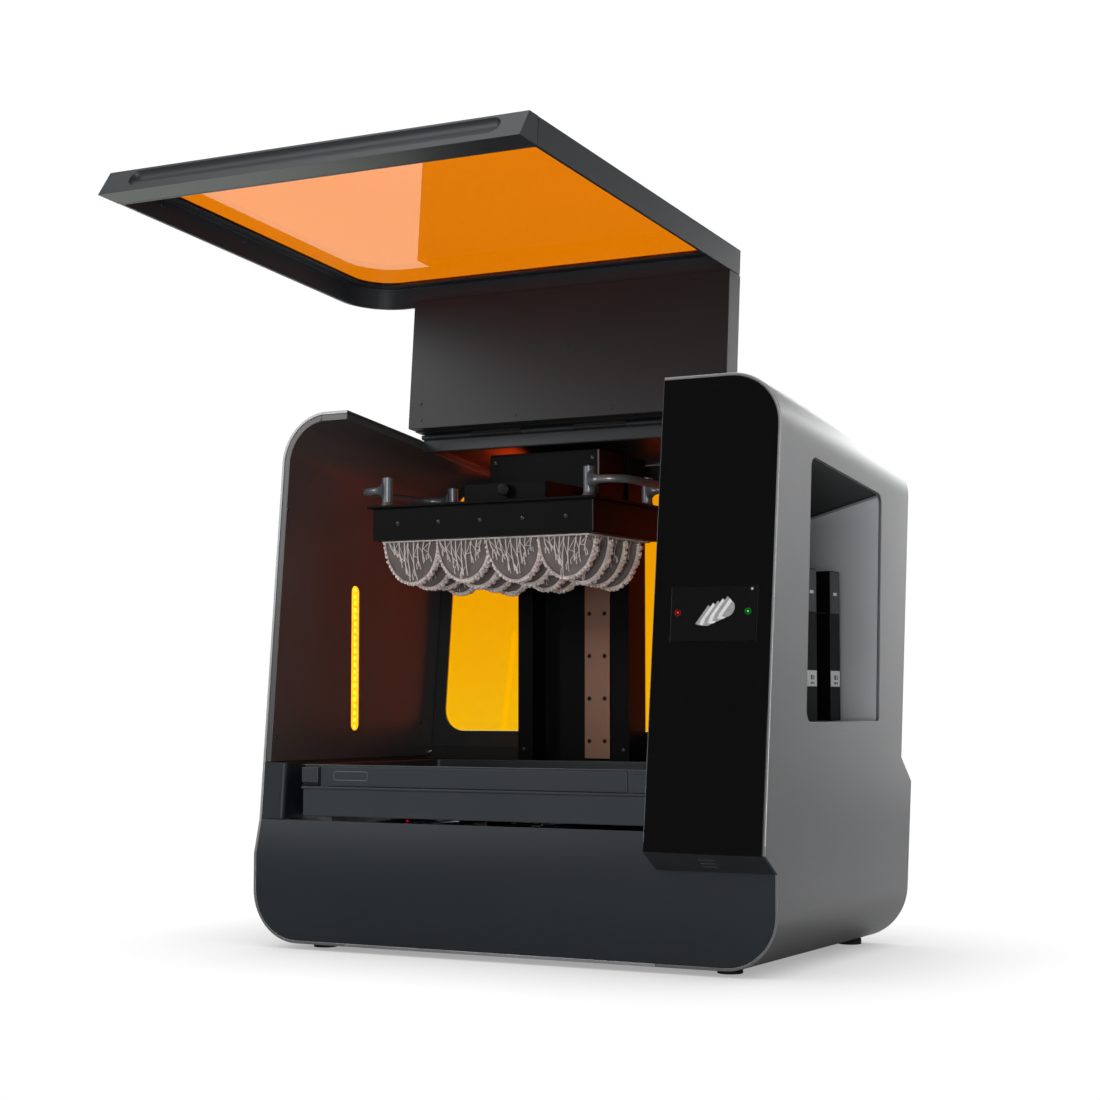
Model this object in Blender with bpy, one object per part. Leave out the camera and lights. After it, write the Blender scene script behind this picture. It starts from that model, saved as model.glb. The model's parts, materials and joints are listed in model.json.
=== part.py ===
"""Large-format resin printer: a leaning cabinet with a flip-up amber cover, shown open.

Run with: blender --background --python part.py

Machine frame, in metres: x is 0 on the cabinet's centre plane, y is 0 on the lower front panel
and grows to the back, z is 0 on the floor. The root empty then puts the origin under the middle
of the open machine. The upper body leans back, so much of it is drawn in tilt coordinates
(x, w, v): w goes into the machine square to the front, v goes up along the front.
"""

import math

import bmesh
import bpy
from mathutils import Matrix, Vector

# ---------------------------------------------------------------- driving dimensions
WIDTH = 0.770
BASE_Z = 0.008
CORNER_R = 0.070
TILT = math.radians(6.4)
CHIN_Y = -0.037
CHIN_Z = 0.150
FRONT_LENGTH = 0.5927
BODY_DEPTH = 0.4622
SHELL_T = 0.004
GAP = 0.0003

# lower front panel, which bends back above the bend height
PANEL_BEND_Z = 0.126
PANEL_TOP_Y = 0.012
PANEL_TOP_Z = 0.172
PANEL_T = 0.005

# left wall's front edge near its top, set back behind the closed cover
LEFT_TOP_Y = 0.0648
LEFT_TOP_Z = 0.735

# rear: the lower box steps out behind the leaning upper back
REAR_STEP_Z = 0.256
REAR_BOX_Z = 0.222
REAR_BOX_Y = 0.479
REAR_BOX_LEAN = 0.1355
REAR_COVER_V = 0.1590

# openings between the fixed shells
COVER_LEFT = -0.280
COVER_RIGHT = 0.222
SEAM_LEFT = -0.236
SEAM_RIGHT = 0.222
PARTITION_X = 0.2238
PARTITION_T = 0.0045

# cover (the flip-up lid) and its hinge
COVER_T = 0.035
COVER_FLANGE = 0.005
COVER_OPEN = math.radians(88.6)
PIVOT_Y = 0.2585
PIVOT_Z = 0.7165
HANDLE_BAR_V = 0.020
HANDLE_DROP = 0.0205
TOP_PANEL_END = 0.2254
REAR_PANEL_START = 0.2365

# lift tower and build platform
TOWER_X0, TOWER_X1 = -0.182, 0.001
TOWER_Y0, TOWER_Y1 = 0.372, 0.425
TOWER_Z0, TOWER_Z1 = 0.2453, 0.685
SCREW_X, SCREW_Y, SCREW_R = -0.108, 0.392, 0.008
PLATFORM_X0, PLATFORM_X1 = -0.260, 0.085
PLATFORM_Y0, PLATFORM_Y1 = 0.100, 0.300
PLATFORM_Z0, PLATFORM_Z1 = 0.554, 0.5995
PRINT_Z0 = 0.470
HANDLE_POST_R = 0.0075
HANDLE_TUBE_R = 0.0056
HANDLE_REACH = 0.048
HANDLE_BEND = 0.030
PLATFORM_TOP = 0.6028
LOCK_X, LOCK_Y, LOCK_Z = -0.079, 0.1500, 0.6220
LOCK_R = 0.0098

# resin tank
TANK_X0, TANK_X1 = -0.3135, 0.2170
TANK_Y0, TANK_Y1 = 0.0105, 0.3550
TANK_Z0, TANK_Z1 = 0.178, 0.247
TANK_WALL = 0.005

# chamber
DECK_Z0, DECK_Z1 = 0.2405, 0.2450
LINER_BOTTOM = 0.2495
LED_Y, LED_HALF, LED_Z0, LED_Z1 = 0.2255, 0.010, 0.290, 0.5005
LED_RADIUS = 0.0095

# light engine bed
RAIL_YS = (0.100, 0.300)
BED_X0, BED_X1 = -0.318, 0.220
BED_TOP = 0.057
ENGINE_WIDTH = 0.110
ENGINE_XS = (-0.262, -0.087)
BED_MIDDLE_Y = 0.200

# cartridge bay, corners of its mouth as (y, z) on the right side
BAY_MOUTH = ((0.0945, 0.306), (0.3522, 0.306), (0.3725, 0.612), (0.1193, 0.641))
BAY_RADII = [0.015, 0.006, 0.015, 0.015]
BAY_FLOOR_X = 0.2355
BAY_CEILING_DROP = 0.040
CARTRIDGE_X0, CARTRIDGE_X1 = 0.245, 0.333

# touch display, across and up the leaning front
SCREEN_X0, SCREEN_X1 = 0.247, 0.362
SCREEN_V0, SCREEN_V1 = 0.2566, 0.3250

# fan and power inlet on the back
FAN_X, FAN_Z = -0.180, 0.115
FAN_Y0, FAN_Y1 = 0.4220, 0.4486
INLET_X0, INLET_X1 = 0.262, 0.3520
INLET_Z0, INLET_Z1 = 0.0453, 0.0797

HALF = WIDTH / 2
COS, SIN = math.cos(TILT), math.sin(TILT)
LEAN = math.tan(TILT)
TOP_Y = CHIN_Y + FRONT_LENGTH * SIN
TOP_Z = CHIN_Z + FRONT_LENGTH * COS
ARC_STEPS = 14

# ---------------------------------------------------------------- clean start
for old in list(bpy.data.objects):
    bpy.data.objects.remove(old, do_unlink=True)


# ---------------------------------------------------------------- places
def tilted(w, v):
    """(y, z) in the machine frame of tilt coordinates (w, v)."""
    return (CHIN_Y + w * COS + v * SIN, CHIN_Z - w * SIN + v * COS)


TILT_FRAME = Matrix.Translation((0, CHIN_Y, CHIN_Z)) @ Matrix.Rotation(-TILT, 4, "X")


def lid_opened(y, z):
    """Where a point of the closed cover goes when the cover is open."""
    dy, dz = y - PIVOT_Y, z - PIVOT_Z
    c, s = math.cos(-COVER_OPEN), math.sin(-COVER_OPEN)
    return (PIVOT_Y + c * dy - s * dz, PIVOT_Z + s * dy + c * dz)


# the origin sits midway between the open cover's tip and the back edge
FRONT_TIP_Y = lid_opened(*tilted(COVER_T, -HANDLE_DROP))[0]
BACK_EDGE_Y = tilted(BODY_DEPTH, FRONT_LENGTH)[0]
ORIGIN_Y = (FRONT_TIP_Y + BACK_EDGE_Y) / 2


def line(z, z0, y0, z1, y1):
    """y at height z on the straight line through two points."""
    return y0 + (y1 - y0) * (z - z0) / (z1 - z0)


def left_edge_y(z):
    """Front edge of the left wall."""
    if z <= PANEL_BEND_Z:
        return 0.0
    if z <= PANEL_TOP_Z:
        return line(z, PANEL_BEND_Z, 0.0, PANEL_TOP_Z, PANEL_TOP_Y)
    return line(z, PANEL_TOP_Z, PANEL_TOP_Y, LEFT_TOP_Z, LEFT_TOP_Y)


def right_edge_y(z):
    """Front edge of the right wall, round the chin."""
    if z <= PANEL_BEND_Z:
        return 0.0
    if z <= CHIN_Z:
        return line(z, PANEL_BEND_Z, 0.0, CHIN_Z, CHIN_Y)
    return CHIN_Y + LEAN * (z - CHIN_Z)


def leaning_back_y(z, inset=0.0):
    """The leaning upper back, inset squarely into the machine."""
    return CHIN_Y + LEAN * (z - CHIN_Z) + (BODY_DEPTH - inset) / COS


def lower_back_y(z):
    return REAR_BOX_Y - REAR_BOX_LEAN * (REAR_BOX_Z - z)


def back_y(z):
    """Rear edge of the side walls."""
    if z >= REAR_STEP_Z:
        return leaning_back_y(z)
    if z >= REAR_BOX_Z:
        return line(z, REAR_BOX_Z, REAR_BOX_Y, REAR_STEP_Z, leaning_back_y(REAR_STEP_Z))
    return lower_back_y(z)


# ---------------------------------------------------------------- materials
def material(name, colour, roughness, metallic=0.0):
    mat = bpy.data.materials.new(name)
    mat.use_nodes = True
    shader = mat.node_tree.nodes["Principled BSDF"]
    shader.inputs["Base Color"].default_value = (*colour, 1.0)
    shader.inputs["Roughness"].default_value = roughness
    shader.inputs["Metallic"].default_value = metallic
    return mat


SILVER = material("silver_shell", (0.30, 0.30, 0.30), 0.38, 0.8)
GRAPHITE = material("graphite_paint", (0.055, 0.062, 0.068), 0.45, 0.3)
PANEL_GREY = material("panel_grey", (0.030, 0.036, 0.042), 0.50, 0.1)
CHAMBER = material("chamber_lining", (0.045, 0.040, 0.038), 0.35, 0.3)
GLOSS_BLACK = material("gloss_black", (0.005, 0.005, 0.005), 0.08)
AMBER = material("amber_acrylic", (0.80, 0.22, 0.01), 0.05)
LED = material("led_amber", (1.00, 0.45, 0.02), 0.30)
SCREEN = material("screen", (0.02, 0.02, 0.022), 0.10)
BLACK_METAL = material("black_anodised", (0.012, 0.012, 0.013), 0.35, 0.5)
STEEL = material("steel", (0.42, 0.43, 0.45), 0.28, 1.0)
BRASS = material("bronze", (0.45, 0.28, 0.12), 0.30, 1.0)
TANK_GREY = material("tank_grey", (0.040, 0.046, 0.053), 0.42)
FILM = material("tank_film", (0.70, 0.72, 0.74), 0.10)
RESIN = material("printed_resin", (0.34, 0.29, 0.28), 0.35)
BLACK_PLASTIC = material("black_plastic", (0.010, 0.010, 0.010), 0.45)
RUBBER = material("rubber", (0.010, 0.010, 0.010), 0.85)
BOARD = material("circuit_board", (0.010, 0.080, 0.040), 0.50)
ZINC = material("zinc_plate", (0.50, 0.50, 0.52), 0.40, 0.9)


# ---------------------------------------------------------------- parents
def empty(name, location, parent=None, angle_x=0.0):
    marker = bpy.data.objects.new(name, None)
    bpy.context.scene.collection.objects.link(marker)
    marker.location = location
    marker.rotation_euler.x = angle_x
    marker.parent = parent
    return marker


ROOT = empty("machine_root", (0, -ORIGIN_Y, 0))


def axis_empty(name, point, angle_x=0.0):
    """An empty on a joint's axis, with the matrix that brings machine points to it."""
    marker = empty(name, point, ROOT, angle_x)
    return marker, Matrix.Translation(-Vector(point))


# ---------------------------------------------------------------- mesh helpers
def add_part(name, bm, mat, parent=ROOT, place=None, smooth=False):
    """Turn a bmesh into a named, parented object."""
    if place is not None:
        bm.transform(place)
    bmesh.ops.recalc_face_normals(bm, faces=bm.faces)
    mesh = bpy.data.meshes.new(name)
    bm.to_mesh(mesh)
    bm.free()
    if smooth:
        mesh.shade_smooth()
        mesh.set_sharp_from_angle(angle=math.radians(35))
    mesh.materials.append(mat)
    obj = bpy.data.objects.new(name, mesh)
    bpy.context.scene.collection.objects.link(obj)
    obj.parent = parent
    return obj


def loop_edges(bm, points):
    verts = [bm.verts.new(p) for p in points]
    return verts, [bm.edges.new((a, b)) for a, b in zip(verts, verts[1:] + verts[:1])]


def extruded(points, offset, holes=()):
    """A flat outline, with optional holes, pushed along offset."""
    bm = bmesh.new()
    verts, edges = loop_edges(bm, points)
    if holes:
        for hole in holes:
            edges += loop_edges(bm, hole)[1]
        bmesh.ops.triangle_fill(bm, use_beauty=True, edges=edges)
    else:
        bm.faces.new(verts)
    push(bm, offset)
    return bm


def push(bm, offset):
    """Extrude every face of bm along offset."""
    grown = bmesh.ops.extrude_face_region(bm, geom=bm.faces[:])
    moved = [item for item in grown["geom"] if isinstance(item, bmesh.types.BMVert)]
    bmesh.ops.translate(bm, vec=offset, verts=moved)


def along_x(profile, x0, x1, holes=()):
    """Extrude a (y, z) or (w, v) profile from x0 to x1."""
    return extruded([(x0, a, b) for a, b in profile], (x1 - x0, 0, 0),
                    [[(x0, a, b) for a, b in hole] for hole in holes])


def along_y(profile, y0, y1, holes=()):
    return extruded([(a, y0, b) for a, b in profile], (0, y1 - y0, 0),
                    [[(a, y0, b) for a, b in hole] for hole in holes])


def along_z(profile, z0, z1, holes=()):
    return extruded([(a, b, z0) for a, b in profile], (0, 0, z1 - z0),
                    [[(a, b, z0) for a, b in hole] for hole in holes])


def box(low, high):
    profile = [(low[0], low[1]), (high[0], low[1]), (high[0], high[1]), (low[0], high[1])]
    return along_z(profile, low[2], high[2])


def circle(a, b, radius, steps=24):
    return [(a + radius * math.cos(2 * math.pi * i / steps),
             b + radius * math.sin(2 * math.pi * i / steps)) for i in range(steps)]


def rounded(corners, radii, steps=6):
    """A polygon with its corners rounded; radii is one number or one per corner."""
    if not isinstance(radii, (list, tuple)):
        radii = [radii] * len(corners)
    points = []
    for i, corner in enumerate(corners):
        here = Vector(corner)
        before = (Vector(corners[i - 1]) - here).normalized()
        after = (Vector(corners[(i + 1) % len(corners)]) - here).normalized()
        if radii[i] <= 0:
            points.append(tuple(here))
            continue
        half = before.angle(after) / 2
        centre = here + (before + after).normalized() * radii[i] / math.sin(half)
        start = here + before * radii[i] / math.tan(half) - centre
        sweep = start.angle_signed(here + after * radii[i] / math.tan(half) - centre)
        for k in range(steps + 1):
            turn = Matrix.Rotation(-sweep * k / steps, 2)
            points.append(tuple(centre + turn @ start))
    return points


def rectangle(a0, a1, b0, b1, radii=0.0, steps=6):
    return rounded([(a0, b0), (a1, b0), (a1, b1), (a0, b1)], radii, steps)


def cylinder(centre, axis, radius, length, steps=24):
    """A closed cylinder centred on a point; axis is 'X', 'Y' or 'Z'."""
    bm = bmesh.new()
    turn = {"X": Matrix.Rotation(math.pi / 2, 4, "Y"),
            "Y": Matrix.Rotation(math.pi / 2, 4, "X"),
            "Z": Matrix.Identity(4)}[axis]
    bmesh.ops.create_cone(bm, cap_ends=True, segments=steps, radius1=radius, radius2=radius,
                          depth=length, matrix=Matrix.Translation(centre) @ turn)
    return bm


def swept_tube(path, radius, steps=12):
    """A closed round tube along a path of points."""
    bm = bmesh.new()
    rings = []
    side = Vector((0, 0, 1))
    for i, point in enumerate(path):
        back = Vector(path[max(i - 1, 0)])
        ahead = Vector(path[min(i + 1, len(path) - 1)])
        tangent = (ahead - back).normalized()
        u = (side - tangent * side.dot(tangent)).normalized()
        v = tangent.cross(u)
        rings.append([bm.verts.new(Vector(point) + u * radius * math.cos(t) + v * radius * math.sin(t))
                      for t in (2 * math.pi * k / steps for k in range(steps))])
    for one, two in zip(rings, rings[1:]):
        for k in range(steps):
            bm.faces.new((one[k], one[(k + 1) % steps], two[(k + 1) % steps], two[k]))
    bm.faces.new(rings[0])
    bm.faces.new(rings[-1])
    return bm


def boolean(target, bm, operation, place=None):
    """Cut or join bm with target; the tool object stays hidden beside it."""
    tool = add_part(f"{target.name}_tool_{len(target.modifiers)}", bm, target.data.materials[0],
                    target.parent, place)
    tool.hide_render = True
    tool.display_type = "WIRE"
    modifier = target.modifiers.new(operation.lower(), "BOOLEAN")
    modifier.operation = operation
    modifier.object = tool
    modifier.solver = "EXACT"


def cut(target, bm, place=None):
    boolean(target, bm, "DIFFERENCE", place)


def join(target, bm, place=None):
    boolean(target, bm, "UNION", place)


# ---------------------------------------------------------------- wrapped shells
def side_section(side, inset, top_x, bottom_x=None, stop_z=None):
    """(x, z) points round one side of the body, from its top edge downwards."""
    wall, radius = HALF - inset, CORNER_R - inset
    centre_x, upper_z, lower_z = HALF - CORNER_R, TOP_Z - CORNER_R, BASE_Z + CORNER_R
    points = [(top_x, TOP_Z - inset)]
    for i in range(ARC_STEPS + 1):
        turn = math.pi / 2 * i / ARC_STEPS
        points.append((side * (centre_x + radius * math.sin(turn)), upper_z + radius * math.cos(turn)))
    knees = (REAR_STEP_Z, REAR_BOX_Z, PANEL_TOP_Z, CHIN_Z, PANEL_BEND_Z)
    if stop_z is not None:
        points += [(side * wall, z) for z in knees if z > stop_z]
        points.append((side * wall, stop_z))
        return points
    points += [(side * wall, z) for z in knees]
    for i in range(ARC_STEPS + 1):
        turn = math.pi / 2 * i / ARC_STEPS
        points.append((side * (centre_x + radius * math.cos(turn)), lower_z - radius * math.sin(turn)))
    points.append((bottom_x, BASE_Z + inset))
    return points


def rule_to(point, edge):
    """Follow the body's straight lines from a section point to an edge curve y = edge(z)."""
    x, z = point
    if z < TOP_Z - CORNER_R - GAP:
        return (x, edge(z), z)
    y = TOP_Y
    for _ in range(12):
        y = edge(z - LEAN * (y - TOP_Y))
    return (x, y, z - LEAN * (y - TOP_Y))


def wrapped_sheet(name, outer, inner, front, back, mat):
    """A bent sheet between two section curves, from its front edge to its back edge."""
    bm = bmesh.new()
    rails = [[bm.verts.new(rule_to(p, edge)) for p in section]
             for section in (outer, inner) for edge in (front, back)]
    outer_front, outer_back, inner_front, inner_back = rails
    for i in range(len(outer) - 1):
        for a, b in ((outer_front, outer_back), (outer_back, inner_back),
                     (inner_back, inner_front), (inner_front, outer_front)):
            bm.faces.new((a[i], a[i + 1], b[i + 1], b[i]))
    for i in (0, -1):
        bm.faces.new([rail[i] for rail in (outer_front, outer_back, inner_back, inner_front)])
    return add_part(name, bm, mat, smooth=True)


def build_shells():
    wrapped_sheet("left_shell", side_section(-1, 0.0, COVER_LEFT, SEAM_LEFT),
                  side_section(-1, SHELL_T, COVER_LEFT, SEAM_LEFT), left_edge_y, back_y, SILVER)
    right = wrapped_sheet("right_shell", side_section(1, 0.0, PARTITION_X, SEAM_RIGHT),
                          side_section(1, SHELL_T, PARTITION_X, SEAM_RIGHT), right_edge_y, back_y, SILVER)
    mouth = rounded(list(BAY_MOUTH), BAY_RADII)
    cut(right, along_x(mouth, HALF - 0.02, HALF + 0.02))
    back_at_floor = lower_back_y(BASE_Z)
    add_part("bottom_pan", box((SEAM_LEFT + GAP, 0.0, BASE_Z),
                               (SEAM_RIGHT - GAP, back_at_floor, BASE_Z + SHELL_T)), ZINC)


def build_left_liner():
    depth = 0.013
    outer = side_section(-1, SHELL_T + GAP, COVER_LEFT, stop_z=LINER_BOTTOM)
    inner = side_section(-1, depth, COVER_LEFT, stop_z=LINER_BOTTOM)
    liner = wrapped_sheet("left_liner", outer, inner, left_edge_y,
                          lambda z: leaning_back_y(z, 0.0048), CHAMBER)
    slot = rectangle(LED_Y - LED_HALF, LED_Y + LED_HALF, LED_Z0, LED_Z1, LED_RADIUS)
    cut(liner, along_x(slot, -HALF - 0.01, -HALF + 0.03))


# ---------------------------------------------------------------- fixed panels
def bent_panel(name, lower, upper, offset, mat):
    """A sheet of two flat faces that share an edge, thickened along offset."""
    bm = bmesh.new()
    verts = {p: bm.verts.new(p) for p in dict.fromkeys(lower + upper)}
    bm.faces.new([verts[p] for p in lower])
    bm.faces.new([verts[p] for p in upper])
    push(bm, offset)
    return add_part(name, bm, mat)


def lower_outline(y_of_z, z_top):
    """Lower part of a full-width panel with the shell's bottom corners, as 3-D points."""
    wall, radius = HALF - SHELL_T - GAP, CORNER_R - SHELL_T - GAP
    floor = BASE_Z + SHELL_T + GAP
    flat = rounded([(-wall, z_top), (-wall, floor), (wall, floor), (wall, z_top)],
                   [0, radius, radius, 0], ARC_STEPS)
    return [(x, y_of_z(z), z) for x, z in flat]


def strip(lower, z_top, y_top):
    """The flat face above a lower outline, up to a new top edge."""
    left, right = lower[0], lower[-1]
    return [left, right, (right[0], y_top, z_top), (left[0], y_top, z_top)]


def build_front_and_rear_panels():
    lower = lower_outline(lambda z: 0.0, PANEL_BEND_Z)
    bent_panel("lower_front_panel", lower, strip(lower, PANEL_TOP_Z, PANEL_TOP_Y),
               (0, PANEL_T, 0), PANEL_GREY)

    lower = lower_outline(lower_back_y, REAR_BOX_Z)
    step_top = REAR_STEP_Z - 0.0005
    rear = bent_panel("rear_lower_cover", lower, strip(lower, step_top, back_y(step_top)),
                      (0, -SHELL_T, 0), GRAPHITE)
    cut(rear, cylinder((FAN_X, REAR_BOX_Y, FAN_Z), "Y", 0.055, 0.2, 32))
    cut(rear, box((INLET_X0 - GAP, 0.40, INLET_Z0 - GAP), (INLET_X1 + GAP, 0.60, INLET_Z1 + GAP)))

    wall, radius = HALF - SHELL_T - GAP, CORNER_R - SHELL_T + GAP
    top = FRONT_LENGTH - SHELL_T - GAP
    outline = rounded([(-wall, REAR_COVER_V), (wall, REAR_COVER_V), (wall, top), (-wall, top)],
                      [0, 0, radius, radius], ARC_STEPS)
    opening = rear_window_outline(0.0)
    bm = extruded([(x, BODY_DEPTH - SHELL_T, v) for x, v in outline], (0, SHELL_T, 0),
                  [[(x, BODY_DEPTH - SHELL_T, v) for x, v in opening]])
    add_part("rear_cover", bm, GRAPHITE, place=TILT_FRAME)
    bm = along_y(rear_window_outline(GAP), BODY_DEPTH - 0.0035, BODY_DEPTH - 0.0005)
    add_part("rear_window", bm, AMBER, place=TILT_FRAME)

    under = FRONT_LENGTH - SHELL_T
    profile = [(REAR_PANEL_START, under - 0.014), (REAR_PANEL_START + SHELL_T, under - 0.014),
               (REAR_PANEL_START + SHELL_T, under), (BODY_DEPTH, under),
               (BODY_DEPTH, FRONT_LENGTH), (REAR_PANEL_START, FRONT_LENGTH)]
    add_part("rear_top_panel", along_x(profile, COVER_LEFT + GAP, PARTITION_X - GAP), GRAPHITE,
             place=TILT_FRAME)


def rear_window_outline(inset):
    radius = 0.034 - inset
    return rectangle(-0.352 + inset, 0.175 - inset, 0.190 + inset, 0.560 - inset,
                     [radius, radius, 0.020, 0.020])


def build_partition():
    """The wall between the print chamber and the electronics tower."""
    inner_back = BODY_DEPTH - SHELL_T - 0.0008
    top = FRONT_LENGTH - SHELL_T - GAP
    outline = [(PANEL_TOP_Y + PANEL_T + 0.003, BASE_Z + SHELL_T + GAP),
               (PANEL_TOP_Y + PANEL_T + 0.003, PANEL_TOP_Z + 0.0015),
               tilted(0.0045, 0.026), tilted(0.0045, top),
               tilted(inner_back, top), tilted(inner_back, 0.162),
               (0.435, BASE_Z + SHELL_T + GAP)]
    add_part("partition_wall", along_x(outline, PARTITION_X, PARTITION_X + PARTITION_T), CHAMBER)


def build_chamber_floor():
    x0, x1 = -HALF + SHELL_T + GAP, PARTITION_X - GAP
    outline = [(x0, 0.067), (-0.3185, 0.067), (-0.3185, 0.362), (x1, 0.362), (x1, 0.4455), (x0, 0.4455)]
    hole = circle(SCREW_X, SCREW_Y, 0.0115)
    add_part("chamber_deck", along_z(outline, DECK_Z0, DECK_Z1, [hole]), CHAMBER)

    profile = rounded([(x0, PANEL_TOP_Y), (-0.346, PANEL_TOP_Y), (-0.346, 0.058), (x0, 0.058)],
                      [0, 0.008, 0, 0])
    post = along_z(profile, PANEL_TOP_Z + 0.0008, LINER_BOTTOM - 0.0007)
    for vert in post.verts:
        vert.co.y += left_edge_y(vert.co.z) - PANEL_TOP_Y
    add_part("left_front_post", post, PANEL_GREY)

    add_part("tank_rail_left", box((x0, 0.062, 0.1625), (-0.300, 0.360, TANK_Z0 - GAP)), ZINC)
    add_part("tank_rail_right", box((0.205, 0.030, 0.1625), (x1, 0.360, TANK_Z0 - GAP)), ZINC)


def build_led_strips():
    slot = rectangle(LED_Y - LED_HALF + GAP, LED_Y + LED_HALF - GAP, LED_Z0 + GAP, LED_Z1 - GAP,
                     LED_RADIUS - GAP)
    add_part("led_strip_left", along_x(slot, -HALF + 0.0045, -HALF + 0.0118), LED)
    add_part("led_strip_right", along_x(slot, PARTITION_X - 0.0028, PARTITION_X - GAP), LED)


# ---------------------------------------------------------------- touch-screen column
def build_screen_column():
    x0, x1 = PARTITION_X, HALF - SHELL_T - GAP
    top = FRONT_LENGTH - SHELL_T - GAP
    radius = CORNER_R - SHELL_T + GAP
    outline = rounded([(x0, 0.0), (x1, 0.0), (x1, top), (x0, top)], [0, 0, radius, 0], ARC_STEPS)
    window = rectangle(SCREEN_X0, SCREEN_X1, SCREEN_V0, SCREEN_V1)
    bm = along_y(outline, 0.0, 0.004, [window])
    add_part("screen_column_glass", bm, GLOSS_BLACK, place=TILT_FRAME)

    bm = box((SCREEN_X0 + GAP, 0.0003, SCREEN_V0 + GAP), (SCREEN_X1 - GAP, 0.009, SCREEN_V1 - GAP))
    add_part("touch_display", bm, SCREEN, place=TILT_FRAME)

    clear = 0.0005
    wedge = [(-clear, PANEL_BEND_Z), (-clear, CHIN_Z - 0.006), tilted(0.012, -0.0004), tilted(0.0, -0.0004)]
    chin = add_part("column_chin", along_x(wedge, x0, x1), GRAPHITE)
    middle = (x0 + x1) / 2
    for i in range(3):
        y = line(0.5 + 0.18 * (i - 1), 0, CHIN_Y, 1, 0.0)
        z = line(0.5 + 0.18 * (i - 1), 0, CHIN_Z, 1, PANEL_BEND_Z)
        cut(chin, box((middle - 0.010, y - 0.0012, z - 0.004), (middle + 0.010, y + 0.0012, z + 0.002)))


# ---------------------------------------------------------------- cartridge bay
def grown(points, amount):
    """Push a convex outline outwards from its middle by about the given amount."""
    middle = sum((Vector(p) for p in points), Vector((0, 0))) / len(points)
    return [tuple(Vector(p) + (Vector(p) - middle).normalized() * amount) for p in points]


def build_cartridge_bay():
    """A cup set into the right side: walls 3 mm thick, its ceiling falling inwards."""
    mouth_x, skin = HALF - SHELL_T - 0.0004, 0.003
    mouth = rounded(list(BAY_MOUTH), BAY_RADII)
    fb, rb, rt, ft = BAY_MOUTH
    drop = BAY_CEILING_DROP
    floor = rounded([fb, rb, (rt[0], rt[1] - drop), (ft[0], ft[1] - drop)], BAY_RADII)
    rings_at = ((grown(floor, skin), BAY_FLOOR_X - skin), (grown(mouth, skin), mouth_x),
                (mouth, mouth_x), (floor, BAY_FLOOR_X))
    bm = bmesh.new()
    rings = [[bm.verts.new((x, y, z)) for y, z in ring] for ring, x in rings_at]
    for one, two in zip(rings, rings[1:]):
        for k in range(len(one)):
            j = (k + 1) % len(one)
            bm.faces.new((one[k], one[j], two[j], two[k]))
    bm.faces.new(rings[0])
    bm.faces.new(rings[-1])
    add_part("cartridge_bay", bm, SILVER)


def build_cartridge(name, y0, y1):
    low = (CARTRIDGE_X0, y0, BAY_MOUTH[0][1] + 0.0005)
    high = (CARTRIDGE_X1, y1, 0.507)
    holder, place = axis_empty(f"{name}_slide", low)
    profile = rectangle(y0, y1, low[2], high[2], [0.001, 0.001, 0.003, 0.003], 3)
    add_part(name, along_x(profile, low[0], high[0]), BLACK_PLASTIC, holder, place)


# ---------------------------------------------------------------- cover
LID_PIVOT = empty("lid_pivot", (0, PIVOT_Y, PIVOT_Z), ROOT, -COVER_OPEN)
LID_PLACE = Matrix.Translation((0, -PIVOT_Y, -PIVOT_Z)) @ TILT_FRAME


def frame_outline(inset, radius):
    """Front outline of the cover above its handle bar, as (x, v)."""
    v0 = HANDLE_BAR_V + GAP
    corners = [(-HALF + inset, v0 + inset), (COVER_RIGHT - inset, v0 + inset),
               (COVER_RIGHT - inset, FRONT_LENGTH - inset), (-HALF + inset, FRONT_LENGTH - inset)]
    return rounded(corners, [0.002, 0.002, 0.002, radius], ARC_STEPS)


def cover_window_outline(inset):
    corners = [(-0.362 + inset, 0.045 + inset), (0.199 - inset, 0.045 + inset),
               (0.199 - inset, 0.568 - inset), (-0.362 + inset, 0.568 - inset)]
    return rounded(corners, [0.010, 0.010, 0.010, 0.050 - inset], ARC_STEPS)


def build_cover():
    rings_at = ((cover_window_outline(0.0), 0.0), (frame_outline(0.0, CORNER_R), 0.0),
                (frame_outline(0.0, CORNER_R), COVER_T),
                (frame_outline(COVER_FLANGE, CORNER_R - COVER_FLANGE), COVER_T),
                (frame_outline(COVER_FLANGE, CORNER_R - COVER_FLANGE), COVER_FLANGE),
                (cover_window_outline(0.0), COVER_FLANGE))
    bm = bmesh.new()
    rings = [[bm.verts.new((x, w, v)) for x, v in ring] for ring, w in rings_at]
    for one, two in zip(rings, rings[1:] + rings[:1]):
        for k in range(len(one)):
            j = (k + 1) % len(one)
            bm.faces.new((one[k], one[j], two[j], two[k]))
    add_part("cover_frame", bm, GRAPHITE, LID_PIVOT, LID_PLACE)
    add_part("cover_window", along_y(cover_window_outline(GAP), 0.0005, 0.0045), AMBER,
             LID_PIVOT, LID_PLACE)
    build_handle_bar()
    build_top_panel()


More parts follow.
